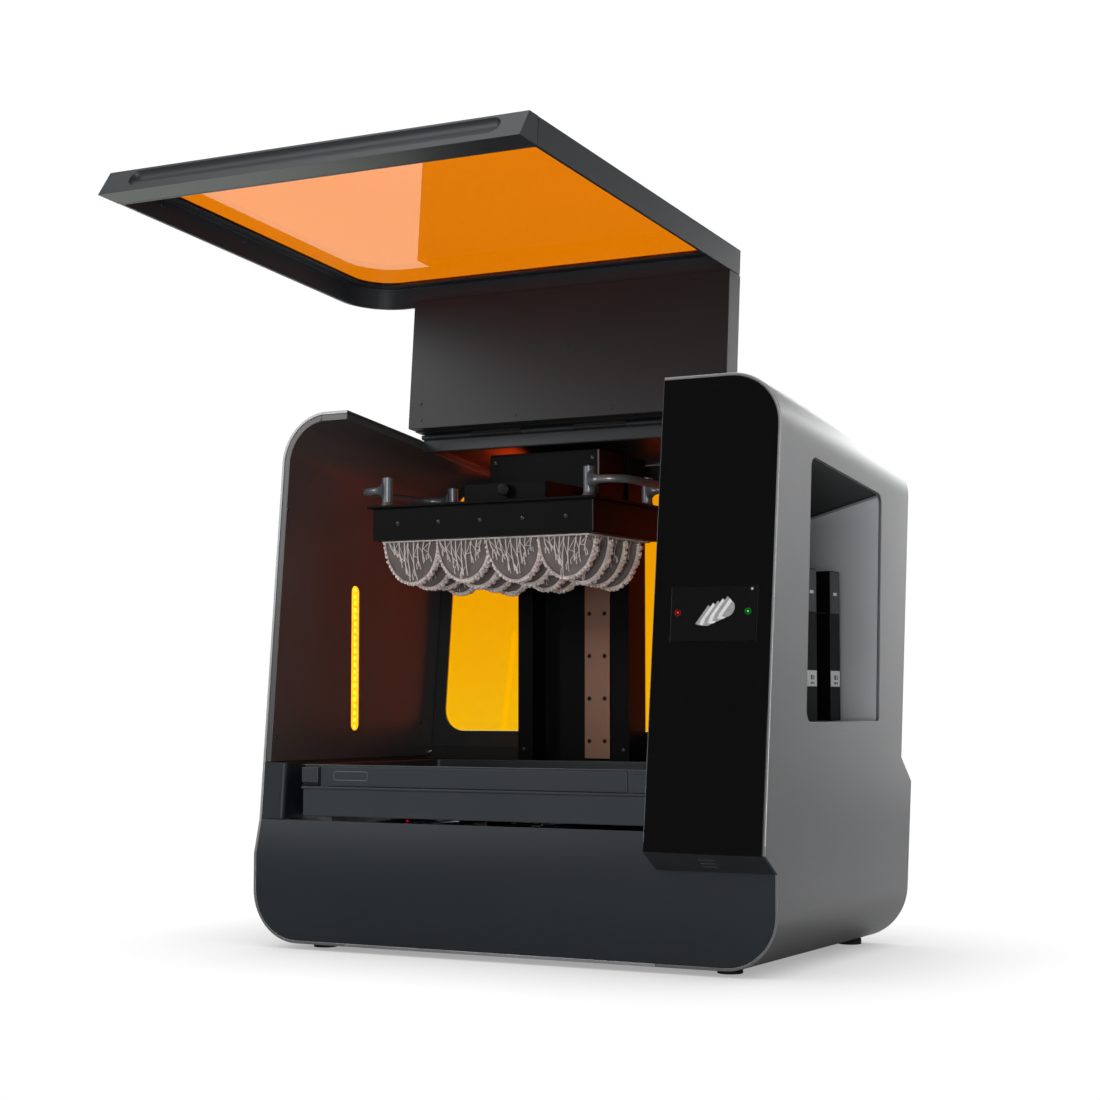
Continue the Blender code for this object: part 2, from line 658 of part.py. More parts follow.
def build_handle_bar():
    profile = [(0.0, 0.0), (COVER_T, -HANDLE_DROP), (COVER_T, HANDLE_BAR_V), (0.0, HANDLE_BAR_V)]
    bar = add_part("cover_handle_bar", along_x(profile, -HALF, COVER_RIGHT), GRAPHITE,
                   LID_PIVOT, LID_PLACE)
    # a scooped grip along the sloping end face
    slope = Vector((COVER_T, -HANDLE_DROP)).normalized()
    outward = Vector((slope.y, -slope.x))
    radius, reach = 0.0144, 0.0050
    centre = slope * 0.017 + outward * reach
    start, end = -0.347 + radius, 0.190 - radius
    scoop = bmesh.new()
    bmesh.ops.create_uvsphere(scoop, u_segments=20, v_segments=11, radius=radius,
                              matrix=Matrix.Rotation(math.pi / 2, 4, "Y"))
    for vert in scoop.verts:
        vert.co += Vector((end if vert.co.x > 0 else start, centre.x, centre.y))
    cut(bar, scoop, LID_PLACE)


def build_top_panel():
    """The cover's top: a folded pan, open where it meets the cover frame."""
    w0, w1 = COVER_T + GAP, TOP_PANEL_END
    v0, v1, wall = FRONT_LENGTH - COVER_T, FRONT_LENGTH, 0.003
    x0, x1 = COVER_LEFT + GAP, COVER_RIGHT
    pan = add_part("cover_top_pan", box((x0, w0, v0), (x1, w1, v1)), GRAPHITE, LID_PIVOT, LID_PLACE)
    cut(pan, box((x0 + wall, w0 - wall, v0 + wall), (x1 - wall, w1 - wall, v1 - wall)), LID_PLACE)


def build_hinge():
    """A full-width hinge: two leaves with alternate knuckles; the pin belongs to the fixed leaf."""
    barrel, bore, pin, clear, height = 0.0035, 0.0021, 0.0019, 0.0005, 0.020
    w, v = hinge_wv()
    x0, x1, knuckles = COVER_LEFT + 0.001, COVER_RIGHT - 0.001, 6
    pitch = (x1 - x0) / knuckles
    fixed = add_part("hinge_leaf_fixed", box((x0, w + barrel + clear, v - height),
                                             (x1, REAR_PANEL_START - GAP, v)), GRAPHITE, place=TILT_FRAME)
    swing = add_part("hinge_leaf_cover", box((x0, TOP_PANEL_END + GAP, v - height),
                                             (x1, w - barrel - clear, v)), GRAPHITE, LID_PIVOT, LID_PLACE)
    for i in range(knuckles):
        start, end = x0 + pitch * i + GAP, x0 + pitch * (i + 1) - GAP
        leaf, side, place = (fixed, 1, TILT_FRAME) if i % 2 == 0 else (swing, -1, LID_PLACE)
        near, far = sorted((w + side * 0.0018, w + side * (barrel + 2 * clear)))
        join(leaf, cylinder(((start + end) / 2, w, v), "X", barrel, end - start, 20), place)
        join(leaf, box((start, near, v - 0.0030), (end, far, v - 0.0002)), place)
    join(fixed, cylinder(((x0 + x1) / 2, w, v), "X", pin, x1 - x0 - 0.002, 16), TILT_FRAME)
    for i in range(1, knuckles, 2):
        middle = x0 + pitch * (i + 0.5)
        cut(swing, cylinder((middle, w, v), "X", bore, pitch * 1.1, 16), LID_PLACE)


def hinge_wv():
    """The hinge axis in tilt coordinates."""
    dy, dz = PIVOT_Y - CHIN_Y, PIVOT_Z - CHIN_Z
    return (dy * COS - dz * SIN, dy * SIN + dz * COS)


# ---------------------------------------------------------------- lift tower
def build_tower():
    recess_x0, recess_x1, step_y = -0.158, -0.095, 0.3765
    outline = [(TOWER_X0, TOWER_Y0), (recess_x0, TOWER_Y0), (recess_x0, 0.412), (recess_x1, 0.412),
               (recess_x1, step_y), (-0.1118, step_y), (-0.1118, TOWER_Y0), (-0.0700, TOWER_Y0),
               (-0.0700, step_y), (-0.0290, step_y), (-0.0290, TOWER_Y0), (TOWER_X1, TOWER_Y0),
               (TOWER_X1, TOWER_Y1), (TOWER_X0, TOWER_Y1)]
    add_part("tower_column", along_z(outline, TOWER_Z0, TOWER_Z1), BLACK_METAL)
    rail = add_part("tower_rail_plate", box((-0.0697, 0.3692, 0.250), (-0.0293, step_y - GAP, 0.683)), STEEL)
    for i in range(7):
        for x in (-0.0620, -0.0372):
            cut(rail, cylinder((x, 0.3692, 0.275 + 0.0613 * i), "Y", 0.0026, 0.006, 10))

    add_part("lift_motor", box((SCREW_X - 0.0285, 0.3640, 0.180), (SCREW_X + 0.0285, 0.4200, 0.235)),
             BLACK_METAL)
    holder, place = axis_empty("lift_screw_axis", (SCREW_X, SCREW_Y, 0.2355))
    bottom, top = 0.2355, 0.678
    add_part("lift_screw", cylinder((SCREW_X, SCREW_Y, (bottom + top) / 2), "Z", SCREW_R, top - bottom, 24),
             BRASS, holder, place, smooth=True)


def build_lift_stage():
    holder, place = axis_empty("lift_stage_slide", (SCREW_X, SCREW_Y, PLATFORM_Z0))
    block_z0, block_z1 = 0.610, 0.688
    front, behind = 0.285, 0.3688
    carriage = add_part("lift_carriage", box((-0.180, front, block_z0), (-0.002, behind, block_z1)),
                        BLACK_METAL, holder, place)
    nut = [(-0.1500, behind - 0.005), (-0.1140, behind - 0.005), (-0.1140, 0.3780), (-0.0965, 0.3780),
           (-0.0965, 0.4075), (-0.1500, 0.4075)]
    join(carriage, along_z(nut, 0.620, 0.685), place)
    cut(carriage, cylinder((SCREW_X, SCREW_Y, 0.65), "Z", 0.0084, 0.2, 24), place)

    add_part("platform_mount", box((-0.147, 0.156, 0.6032), (-0.017, front - GAP, 0.632)), BLACK_METAL,
             holder, place)
    low = (PLATFORM_X0, PLATFORM_Y0, PLATFORM_Z0)
    high = (PLATFORM_X1, PLATFORM_Y1, PLATFORM_Z1)
    body = add_part("build_platform", box(low, high), BLACK_METAL, holder, place)
    join(body, box((low[0] - 0.007, low[1] - 0.006, high[2] - 0.0005),
                   (high[0] + 0.007, high[1] + 0.006, PLATFORM_TOP)), place)
    cut(body, box((low[0] + 0.004, low[1] + 0.004, low[2] + 0.007),
                  (high[0] - 0.004, high[1] - 0.004, high[2] - 0.001)), place)
    cut(body, cylinder((-0.086, 0.220, high[2]), "Z", 0.012, 0.02, 20), place)
    build_handle("left", -1, holder, place)
    build_handle("right", 1, holder, place)
    build_prints(holder, place)

    knob_at = (LOCK_X, LOCK_Y, LOCK_Z)
    lock_holder = empty("platform_lock_axis", Vector(knob_at) - Vector((SCREW_X, SCREW_Y, PLATFORM_Z0)), holder)
    lock_place = Matrix.Translation(-Vector(knob_at))
    add_part("platform_lock", cylinder(knob_at, "Y", LOCK_R, 0.0110, 24), STEEL, lock_holder, lock_place)


def build_handle(side_name, side, holder, place):
    """Two posts and a tube that bows outwards between them."""
    middle = (PLATFORM_X0 + PLATFORM_X1) / 2
    x = middle + side * 0.1585
    front_y, back_y_post, tube_z, top_z = 0.115, 0.290, 0.6255, 0.643
    base = PLATFORM_TOP + GAP
    handle = add_part(f"platform_handle_{side_name}",
                      cylinder((x, front_y, (base + top_z) / 2), "Z", HANDLE_POST_R, top_z - base, 20),
                      STEEL, holder, place, smooth=True)
    join(handle, cylinder((x, back_y_post, (base + top_z) / 2), "Z", HANDLE_POST_R, top_z - base, 20), place)
    out = x + side * HANDLE_REACH
    path = [(x, front_y, tube_z)]
    for i in range(7):
        turn = math.pi / 2 * i / 6
        inward = side * HANDLE_BEND * (1 - math.sin(turn))
        path.append((out - inward, front_y + HANDLE_BEND * (1 - math.cos(turn)), tube_z))
    for i in range(7):
        turn = math.pi / 2 * i / 6
        inward = side * HANDLE_BEND * (1 - math.cos(turn))
        path.append((out - inward, back_y_post - HANDLE_BEND * (1 - math.sin(turn)), tube_z))
    path.append((x, back_y_post, tube_z))
    join(handle, swept_tube(path, HANDLE_TUBE_R), place)


def build_prints(holder, place):
    """The models hanging under the platform, as one block with a scalloped underside."""
    x0, x1 = PLATFORM_X0 + 0.008, PLATFORM_X1 - 0.008
    top, raft = PLATFORM_Z0 - GAP, PLATFORM_Z0 - 0.004
    lobes, steps = 4, 10
    pitch = (x1 - x0) / lobes
    under = []
    for lobe in range(lobes):
        for i in range(steps + 1):
            turn = math.pi * i / steps
            x = x0 + pitch * (lobe + 0.5) - pitch / 2 * math.cos(turn)
            point = (x, raft - (raft - PRINT_Z0) * math.sin(turn))
            if not under or abs(under[-1][0] - x) > GAP:
                under.append(point)
    outline = [(x0, top)] + under + [(x1, top)]
    add_part("printed_models", along_y(outline, PLATFORM_Y0 + 0.008, PLATFORM_Y1 - 0.008), RESIN,
             holder, place)


# ---------------------------------------------------------------- resin tank
def build_tank():
    outer = rectangle(TANK_X0, TANK_X1, TANK_Y0, TANK_Y1, 0.012)
    inner = rectangle(TANK_X0 + TANK_WALL, TANK_X1 - TANK_WALL, TANK_Y0 + TANK_WALL, TANK_Y1 - TANK_WALL, 0.007)
    add_part("resin_tank", along_z(outer, TANK_Z0, TANK_Z1, [inner]), TANK_GREY)
    film = rectangle(TANK_X0 + TANK_WALL + GAP, TANK_X1 - TANK_WALL - GAP,
                     TANK_Y0 + TANK_WALL + GAP, TANK_Y1 - TANK_WALL - GAP, 0.0067)
    add_part("tank_film", along_z(film, 0.1800, 0.1815), FILM)
    low = (0.188, TANK_Y0 + TANK_WALL + 0.0008, 0.1845)
    high = (0.206, TANK_Y1 - TANK_WALL - 0.0008, 0.196)
    holder, place = axis_empty("tank_mixer_slide", low)
    add_part("tank_mixer", box(low, high), BLACK_PLASTIC, holder, place)


# ---------------------------------------------------------------- light engines
def build_light_bed():
    front, back, foot = 0.055, 0.345, BASE_Z + SHELL_T + GAP
    profile = [(front, foot), (front + 0.005, foot), (front + 0.005, BED_TOP - 0.005),
               (back - 0.005, BED_TOP - 0.005), (back - 0.005, foot), (back, foot),
               (back, BED_TOP), (front, BED_TOP)]
    add_part("light_bed", along_x(profile, BED_X0, BED_X1), ZINC)
    for name, y in zip(("light_rail_front", "light_rail_rear"), RAIL_YS):
        add_part(name, box((BED_X0 + 0.003, y - 0.006, BED_TOP + GAP), (BED_X1 - 0.002, y + 0.006, BED_TOP + 0.0123)),
                 STEEL)


def engine_profile():
    """Side view of a light engine: a box on two saddles that straddle the rails."""
    top, under, toe = 0.158, 0.078, 0.0600
    points = [(0.075, top), (0.075, under)]
    for y in RAIL_YS:
        points += [(y - 0.014, under), (y - 0.014, toe), (y - 0.0063, toe), (y - 0.0063, BED_TOP + 0.0127),
                   (y + 0.0063, BED_TOP + 0.0127), (y + 0.0063, toe), (y + 0.014, toe), (y + 0.014, under)]
    return points + [(0.325, under), (0.325, top)]


def build_light_engines():
    for name, x in zip(("light_engine_left", "light_engine_right"), ENGINE_XS):
        holder, place = axis_empty(f"{name}_slide", (x, BED_MIDDLE_Y, BED_TOP))
        add_part(name, along_x(engine_profile(), x - ENGINE_WIDTH / 2, x + ENGINE_WIDTH / 2), BLACK_METAL,
                 holder, place)


# ---------------------------------------------------------------- electrics

def build_fan():
    """A square fan with a moulded finger guard on its outer face."""
    half, bore, guard, steps = 0.060, 0.056, 0.0030, 5
    frame = [(FAN_X - half, FAN_Z - half), (FAN_X + half, FAN_Z - half),
             (FAN_X + half, FAN_Z + half), (FAN_X - half, FAN_Z + half)]
    holes = []
    for s in range(6):
        start, end = (2 * math.pi * (s + edge) / 6 for edge in (0.05, 0.95))
        angles = [start + (end - start) * i / steps for i in range(steps + 1)]
        for near, far in ((0.014, 0.031), (0.035, 0.052)):
            holes.append([(FAN_X + far * math.cos(t), FAN_Z + far * math.sin(t)) for t in angles]
                         + [(FAN_X + near * math.cos(t), FAN_Z + near * math.sin(t)) for t in reversed(angles)])
    body = add_part("fan_frame", along_y(frame, FAN_Y0, FAN_Y1, holes), BLACK_PLASTIC)
    cut(body, cylinder((FAN_X, (FAN_Y0 + FAN_Y1) / 2 - guard, FAN_Z), "Y", bore, FAN_Y1 - FAN_Y0, 32))

    centre = (FAN_X, (FAN_Y0 + FAN_Y1) / 2, FAN_Z)
    holder, place = axis_empty("fan_axis", centre)
    rotor = add_part("fan_rotor", cylinder(centre, "Y", 0.020, 0.018, 24), BLACK_PLASTIC, holder, place)
    blades = 5
    for i in range(blades):
        blade = box((0.015, -0.0010, -0.011), (0.053, 0.0010, 0.011))
        blade.transform(Matrix.Rotation(math.radians(50), 4, "X"))
        blade.transform(Matrix.Rotation(2 * math.pi * i / blades, 4, "Y"))
        blade.transform(Matrix.Translation(centre))
        join(rotor, blade, place)


def build_power_entry():
    inlet = add_part("power_inlet", box((INLET_X0, 0.420, INLET_Z0), (INLET_X1, 0.4590, INLET_Z1)), BLACK_PLASTIC)
    cut(inlet, box((0.270, 0.440, 0.052), (0.308, 0.470, 0.073)))
    cut(inlet, box((0.320, 0.438, 0.0485), (0.346, 0.470, 0.0765)))
    pivot = (0.333, 0.4470, (INLET_Z0 + INLET_Z1) / 2)
    holder, place = axis_empty("power_rocker_axis", pivot)
    half = 0.0112
    profile = [(pivot[1] + dy, pivot[2] + dz) for dy, dz in
               ((-0.0040, -half), (0.0080, -half), (0.0095, 0.0), (0.0125, half), (-0.0040, half))]
    add_part("power_rocker", along_x(profile, 0.3208, 0.3452), BLACK_PLASTIC, holder, place)

    add_part("power_supply", box((0.240, 0.080, 0.0155), (0.330, 0.290, 0.0750)), ZINC)
    add_part("control_board", box((0.245, 0.4000, 0.100), (0.365, 0.4016, 0.280)), BOARD)


def build_feet():
    for name, x, y in (("foot_front_left", -0.300, 0.050), ("foot_front_right", 0.300, 0.050),
                       ("foot_rear_left", -0.313, 0.424), ("foot_rear_right", 0.313, 0.424)):
        top = BASE_Z - GAP
        add_part(name, cylinder((x, y, top / 2), "Z", 0.016, top, 24), RUBBER, smooth=True)


# ---------------------------------------------------------------- build everything
build_shells()
build_left_liner()
build_front_and_rear_panels()
build_partition()
build_chamber_floor()
build_led_strips()
build_screen_column()
build_cartridge_bay()
build_cartridge("cartridge_front", 0.2245, 0.2615)
build_cartridge("cartridge_rear", 0.3090, 0.3450)
build_cover()
build_hinge()
build_tower()
build_lift_stage()
build_tank()
build_light_bed()
build_light_engines()
build_fan()
build_power_entry()
build_feet()
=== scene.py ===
"""Looks for the leaning resin printer: materials, fine detail, floor, light and camera.

Lengths are metres. Detail is laid out in the machine frame: x is 0 on the cabinet's centre plane,
y is 0 on the lower front panel, z is 0 on the floor. Parts that lean with the body use tilt
coordinates (x, w, v): w goes into the machine square to its front, v goes up along the front.
"""

import json
import math
import random

import bmesh
import bpy
from mathutils import Matrix, Vector
from mathutils.bvhtree import BVHTree


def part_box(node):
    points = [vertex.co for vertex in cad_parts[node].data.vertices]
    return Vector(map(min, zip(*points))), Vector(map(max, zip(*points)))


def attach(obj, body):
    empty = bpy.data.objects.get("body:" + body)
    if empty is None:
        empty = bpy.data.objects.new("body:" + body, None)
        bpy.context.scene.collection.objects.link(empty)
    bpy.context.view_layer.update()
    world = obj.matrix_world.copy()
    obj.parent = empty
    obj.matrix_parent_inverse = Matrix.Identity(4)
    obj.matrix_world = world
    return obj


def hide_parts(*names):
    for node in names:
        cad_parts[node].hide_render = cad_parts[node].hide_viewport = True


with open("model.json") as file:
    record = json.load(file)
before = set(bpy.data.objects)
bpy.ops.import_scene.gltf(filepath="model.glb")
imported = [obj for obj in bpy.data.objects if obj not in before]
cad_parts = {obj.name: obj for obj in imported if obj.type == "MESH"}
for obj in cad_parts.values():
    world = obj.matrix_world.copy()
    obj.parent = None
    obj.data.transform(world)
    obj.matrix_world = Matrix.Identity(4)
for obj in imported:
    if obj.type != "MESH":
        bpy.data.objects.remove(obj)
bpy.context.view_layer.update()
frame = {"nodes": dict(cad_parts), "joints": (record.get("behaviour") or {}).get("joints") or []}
NODES = frame["nodes"]

# ---- places
SHIFT = Matrix.Translation((0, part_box("lower_front_panel")[0].y, 0))
TILT = math.radians(6.4)
CHIN_Y, CHIN_Z = -0.037, 0.150  # where the leaning front starts
HALF = 0.385  # half the cabinet's width
CORNER_R = 0.070  # the shells' top corners
FRONT_LENGTH = 0.5927  # the leaning front, measured along it
FAR = 0.9  # outside the machine, where rays that look for a surface start

SEEN_WHITE = 1.02  # the background's level in the picture
BEVEL_ANGLE = math.radians(32)

HINGE = next(j for j in frame["joints"] if j["name"] == "cover_hinge")
OPEN_ANGLE = math.radians(HINGE["range_deg"][1])
PIVOT = Matrix.Translation(HINGE["pos_m"])
TILT_FRAME = SHIFT @ Matrix.Translation((0, CHIN_Y, CHIN_Z)) @ Matrix.Rotation(-TILT, 4, "X")
COVER_FRAME = PIVOT @ Matrix.Rotation(-OPEN_ANGLE, 4, "X") @ PIVOT.inverted() @ TILT_FRAME


def machine_box(node):
    """A CAD node's lowest and highest corners in the machine frame."""
    back = SHIFT.inverted()
    low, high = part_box(node)
    return back @ low, back @ high


# ---- shader helpers
def new_material(name):
    mat = bpy.data.materials.new(name)
    mat.use_nodes = True
    return mat, mat.node_tree, mat.node_tree.nodes["Principled BSDF"]


def set_inputs(tree, node, inputs):
    """Link each input that is given a socket, and set the others."""
    for key, value in inputs.items():
        if isinstance(value, bpy.types.NodeSocket):
            tree.links.new(value, node.inputs[key])
        else:
            node.inputs[key].default_value = value


def add_node(tree, kind, inputs=None, **settings):
    node = tree.nodes.new("ShaderNode" + kind)
    for key, value in settings.items():
        setattr(node, key, value)
    set_inputs(tree, node, inputs or {})
    return node


def scaled_coords(tree, scale=(1, 1, 1)):
    coords = add_node(tree, "TexCoord").outputs["Object"]
    return add_node(tree, "Mapping", {"Vector": coords, "Scale": scale}).outputs["Vector"]


def noise(tree, vector, scale, detail=2.0, rough=0.5):
    return add_node(tree, "TexNoise", {"Vector": vector, "Scale": scale, "Detail": detail,
                                                 "Roughness": rough}).outputs["Fac"]


def remap(tree, value, low_in, high_in, low, high, **settings):
    return add_node(tree, "MapRange", {"Value": value, "From Min": low_in, "From Max": high_in,
                                       "To Min": low, "To Max": high}, **settings).outputs["Result"]


def spread(tree, value, low, high):
    """Map a noise value, which mostly runs 0.3 to 0.7, onto low to high."""
    return remap(tree, value, 0.3, 0.7, low, high)


def maths(tree, operation, *values, **settings):
    return add_node(tree, "Math", dict(enumerate(values)), operation=operation, **settings).outputs[0]


def mix_shaders(tree, share, first, second):
    return add_node(tree, "MixShader", {0: share, 1: first.outputs[0], 2: second.outputs[0]}).outputs[0]


def mix_colours(tree, share, first, second):
    mix = add_node(tree, "Mix", {"Factor": share, "A": first, "B": second}, data_type="RGBA")
    return mix.outputs["Result"]


def surface(name, colour, roughness, metallic=0.0, grain=1500.0, bump=0.04, stretch=(1, 1, 1), mottle=0.06,
            rough_spread=0.05, coat=0.0, specular=0.5, painted_underside_shade=1.0):
    """A painted, moulded or metal finish with fine grain, faint mottling and uneven gloss.

    Faces that look down are darkened to the given share, as painted shade.
    """
    mat, tree, shader = new_material(name)
    soft = noise(tree, scaled_coords(tree), 7.0, 4.0)
    fine = noise(tree, scaled_coords(tree, stretch), grain, 3.0, 0.6)
    value = spread(tree, soft, 1 - mottle, 1 + mottle)
    if painted_underside_shade < 1:
        normal = add_node(tree, "NewGeometry").outputs["True Normal"]
        upward = add_node(tree, "SeparateXYZ", {"Vector": normal}).outputs["Z"]
        value = maths(tree, "MULTIPLY", value, remap(tree, upward, -0.8, -0.6, painted_underside_shade, 1.0))
    tone = add_node(tree, "HueSaturation", {"Color": (*colour, 1), "Value": value})
    gloss = spread(tree, fine, roughness - rough_spread, roughness + rough_spread)
    relief = add_node(tree, "Bump", {"Strength": bump, "Distance": 0.0004, "Height": fine})
    set_inputs(tree, shader, {"Base Color": tone.outputs["Color"], "Normal": relief.outputs["Normal"],
                              "Roughness": gloss, "Metallic": metallic, "Coat Weight": coat,
                              "Coat Roughness": 0.06, "Specular IOR Level": specular})
    return mat


def amber_sheet(name, tint, deep_tint, gloss_share, roughness, painted_foot_light=None):
    """Clear tinted sheet: what is behind shows through, tinted once at each of its two faces.

    Light passing on into the chamber takes the deeper tint. A foot tint, when given, is painted light: the
    sheet grades from it at the lower edge to the plain tint at the top.
    """
    mat, tree, shader = new_material(name)
    tree.nodes.remove(shader)
    haze = noise(tree, scaled_coords(tree), 3.0, 2.0)
    value = spread(tree, haze, 0.98, 1.0)
    path = add_node(tree, "LightPath").outputs
    bounced = maths(tree, "MAXIMUM", path["Is Diffuse Ray"], path["Is Shadow Ray"])
    glossy = maths(tree, "MULTIPLY_ADD", path["Is Glossy Ray"], 0.80, 0.0)
    clean = maths(tree, "SUBTRACT", maths(tree, "SUBTRACT", 1.0, bounced), glossy, use_clamp=True)
    height = add_node(tree, "TexCoord").outputs["Generated"]
    up = add_node(tree, "SeparateXYZ", {"Vector": height}).outputs["Z"]
    # Painted light: the tint grades from the foot tint at the lower edge to the plain tint at the top.
    painted_light_fade = mix_colours(tree, up, (*(painted_foot_light or tint), 1), (*tint, 1))
    which = mix_colours(tree, clean, (*deep_tint, 1), painted_light_fade)
    colour = add_node(tree, "HueSaturation", {"Color": which, "Value": value})
    clear = add_node(tree, "BsdfTransparent", {"Color": colour.outputs["Color"]})
    shine = add_node(tree, "BsdfGlossy", {"Color": (1, 1, 1, 1), "Roughness": roughness})
    facing = add_node(tree, "LayerWeight", {"Blend": 0.5}).outputs["Facing"]
    share = maths(tree, "MULTIPLY_ADD", maths(tree, "POWER", facing, 4.0), gloss_share, 0.035)
    tree.links.new(mix_shaders(tree, share, clear, shine), tree.nodes["Material Output"].inputs["Surface"])
    return mat


def glowing(name, colour, strength):
    """A lit diffuser, a little uneven along its length."""
    mat, tree, shader = new_material(name)
    flicker = noise(tree, scaled_coords(tree), 120.0, 1.0)
    level = spread(tree, flicker, strength * 0.85, strength * 1.15)
    set_inputs(tree, shader, {"Base Color": (*colour, 1), "Emission Color": (*colour, 1), "Roughness": 0.12,
                              "Specular IOR Level": 0.08, "Emission Strength": level})
    return mat


def resin_material(name, colour):
    """Cured resin: slightly see-through, with fine print layers and sanded mottling."""
    mat, tree, shader = new_material(name)
    patches = noise(tree, scaled_coords(tree), 90.0, 4.0)
    layers = add_node(tree, "TexWave", {"Vector": scaled_coords(tree), "Scale": 700.0,
                                                  "Distortion": 0.4}, bands_direction="Z").outputs["Fac"]
    tone = add_node(tree, "HueSaturation", {"Color": (*colour, 1),
                                                      "Value": spread(tree, patches, 0.80, 1.15)})
    relief = add_node(tree, "Bump", {"Strength": 0.25, "Distance": 0.0002, "Height": layers})
    set_inputs(tree, shader, {"Base Color": tone.outputs["Color"], "Normal": relief.outputs["Normal"],
                              "Roughness": 0.36, "Subsurface Weight": 0.25,
                              "Subsurface Radius": (0.004, 0.003, 0.0025), "Subsurface Scale": 1.0})
    return mat


# ---- materials
SILVER = surface("satin_silver", (0.27, 0.272, 0.278), 0.38, 0.92, 2200.0, 0.05, mottle=0.02)
# The bay's downward faces are darkened almost to black: painted shade under the bay.
BAY = surface("bay_silver", (0.54, 0.56, 0.58), 0.50, 0.20, 2200.0, 0.04, mottle=0.02, painted_underside_shade=0.012)
GRAPHITE = surface("graphite_paint", (0.030, 0.034, 0.039), 0.44, 0.20, 2600.0, 0.06)
# A darker copy of the graphite paint for the rear covers, the cover's inner pan and its hinge leaf: painted
# shade.
GRAPHITE_PAINTED_SHADE = surface("graphite_painted_shade", (0.020, 0.020, 0.021), 0.42, 0.25, 2600.0, 0.06)
PANEL = surface("front_panel_paint", (0.012, 0.017, 0.023), 0.46, 0.20, 2600.0, 0.05)
CHAMBER = surface("chamber_lining", (0.092, 0.089, 0.088), 0.36, 0.30, 1800.0, 0.05)
GLOSS_BLACK = surface("gloss_black", (0.0035, 0.0035, 0.0038), 0.07, grain=30.0, bump=0.002,
                      rough_spread=0.01, coat=0.3, specular=0.35)
BLACK_METAL = surface("black_anodised", (0.0032, 0.0032, 0.0038), 0.42, 0.0, 2400.0, 0.04, specular=0.10)
BLACK_PLASTIC = surface("black_plastic", (0.008, 0.008, 0.008), 0.45, grain=2400.0, bump=0.08,
                        specular=0.20)
RUBBER = surface("foot_rubber", (0.014, 0.014, 0.014), 0.80, grain=1600.0, bump=0.25)
STEEL = surface("satin_steel", (0.30, 0.31, 0.33), 0.30, 1.0, 900.0, 0.06, (1, 1, 0.08))
HANDLE_STEEL = surface("handle_steel", (0.21, 0.225, 0.24), 0.32, 0.55, 900.0, 0.05)
BRONZE = surface("screw_bronze", (0.62, 0.38, 0.14), 0.36, 0.2, 500.0, 0.10)
TANK = surface("tank_plastic", (0.030, 0.037, 0.044), 0.42, grain=2400.0, bump=0.12)
# A lighter grey for the tank's raised outline and top edge: painted highlight.
TANK_EDGE_HIGHLIGHT = surface("tank_edge_highlight", (0.14, 0.15, 0.16), 0.36, grain=2400.0)
ZINC = surface("zinc_plate", (0.42, 0.42, 0.44), 0.42, 0.9, 260.0, 0.05, mottle=0.20)
BOARD = surface("circuit_board", (0.010, 0.080, 0.040), 0.50, grain=220.0, bump=0.20, mottle=0.25)
FILM = surface("tank_film", (0.16, 0.17, 0.18), 0.12, grain=60.0, bump=0.02)
SCREEN = surface("screen_glass", (0.006, 0.006, 0.007), 0.10, grain=40.0, bump=0.002)
AMBER = amber_sheet("amber_acrylic", (0.975, 0.50, 0.03), (0.38, 0.05, 0.0), 0.35, 0.02)
# The rear sheet is lighter and yellower towards its foot: painted light.
AMBER_REAR = amber_sheet("amber_rear", (0.95, 0.56, 0.01), (0.30, 0.03, 0.0), 0.5, 0.02, (0.98, 0.71, 0.01))
LED_BAR = glowing("led_diffuser", (1.0, 0.34, 0.006), 1.9)
LED_DOT = glowing("led_dot", (1.0, 0.62, 0.06), 1.9)
DIM_LAMP = glowing("dim_red_lamp", (0.40, 0.0, 0.03), 0.6)
RED_LAMP = glowing("red_lamp", (1.0, 0.02, 0.01), 0.8)
GREEN_LAMP = glowing("green_lamp", (0.02, 0.75, 0.05), 1.0)
PALE_PRINT = glowing("pale_print", (0.50, 0.50, 0.50), 0.55)
PREVIEW_GREY = glowing("preview_grey", (0.22, 0.22, 0.22), 0.6)
SCREEN_FIELD = glowing("screen_field", (0.006, 0.006, 0.0065), 0.4)
# One resin in three tones: the arch plates' much darker tone is painted shade.
RESIN = resin_material("printed_resin", (0.17, 0.14, 0.132))
TOOTH_RESIN = resin_material("tooth_resin", (0.95, 0.83, 0.79))
SUPPORT_RESIN = resin_material("support_resin", (0.90, 0.80, 0.76))
# Satin steel; its red-brown tint is a painted reflection of the amber light.
RAIL_PAINTED_REFLECTION = surface("rail_steel_painted_reflection", (0.34, 0.19, 0.13), 0.42, 0.9, 900.0, 0.05)
LABEL = surface("plain_label", (0.88, 0.88, 0.88), 0.55, grain=600.0)
LABEL_GREY = surface("label_grey", (0.12, 0.12, 0.125), 0.55, grain=600.0)
CARTRIDGE_CAP = surface("cartridge_cap", (0.045, 0.048, 0.052), 0.45, grain=2400.0)
COPPER = surface("bright_contact", (0.70, 0.62, 0.45), 0.30, 1.0, 900.0)
# Light finishes for thin strips along edges: painted highlights.
BRIGHT_EDGE_HIGHLIGHT = surface("bright_edge_highlight", (0.62, 0.62, 0.63), 0.30, 0.6, 900.0)
GREY_EDGE_HIGHLIGHT = surface("grey_edge_highlight", (0.10, 0.10, 0.105), 0.35, 0.6, 900.0)
DARK_SCREW = surface("dark_screw", (0.085, 0.087, 0.092), 0.30, 0.9, 900.0)


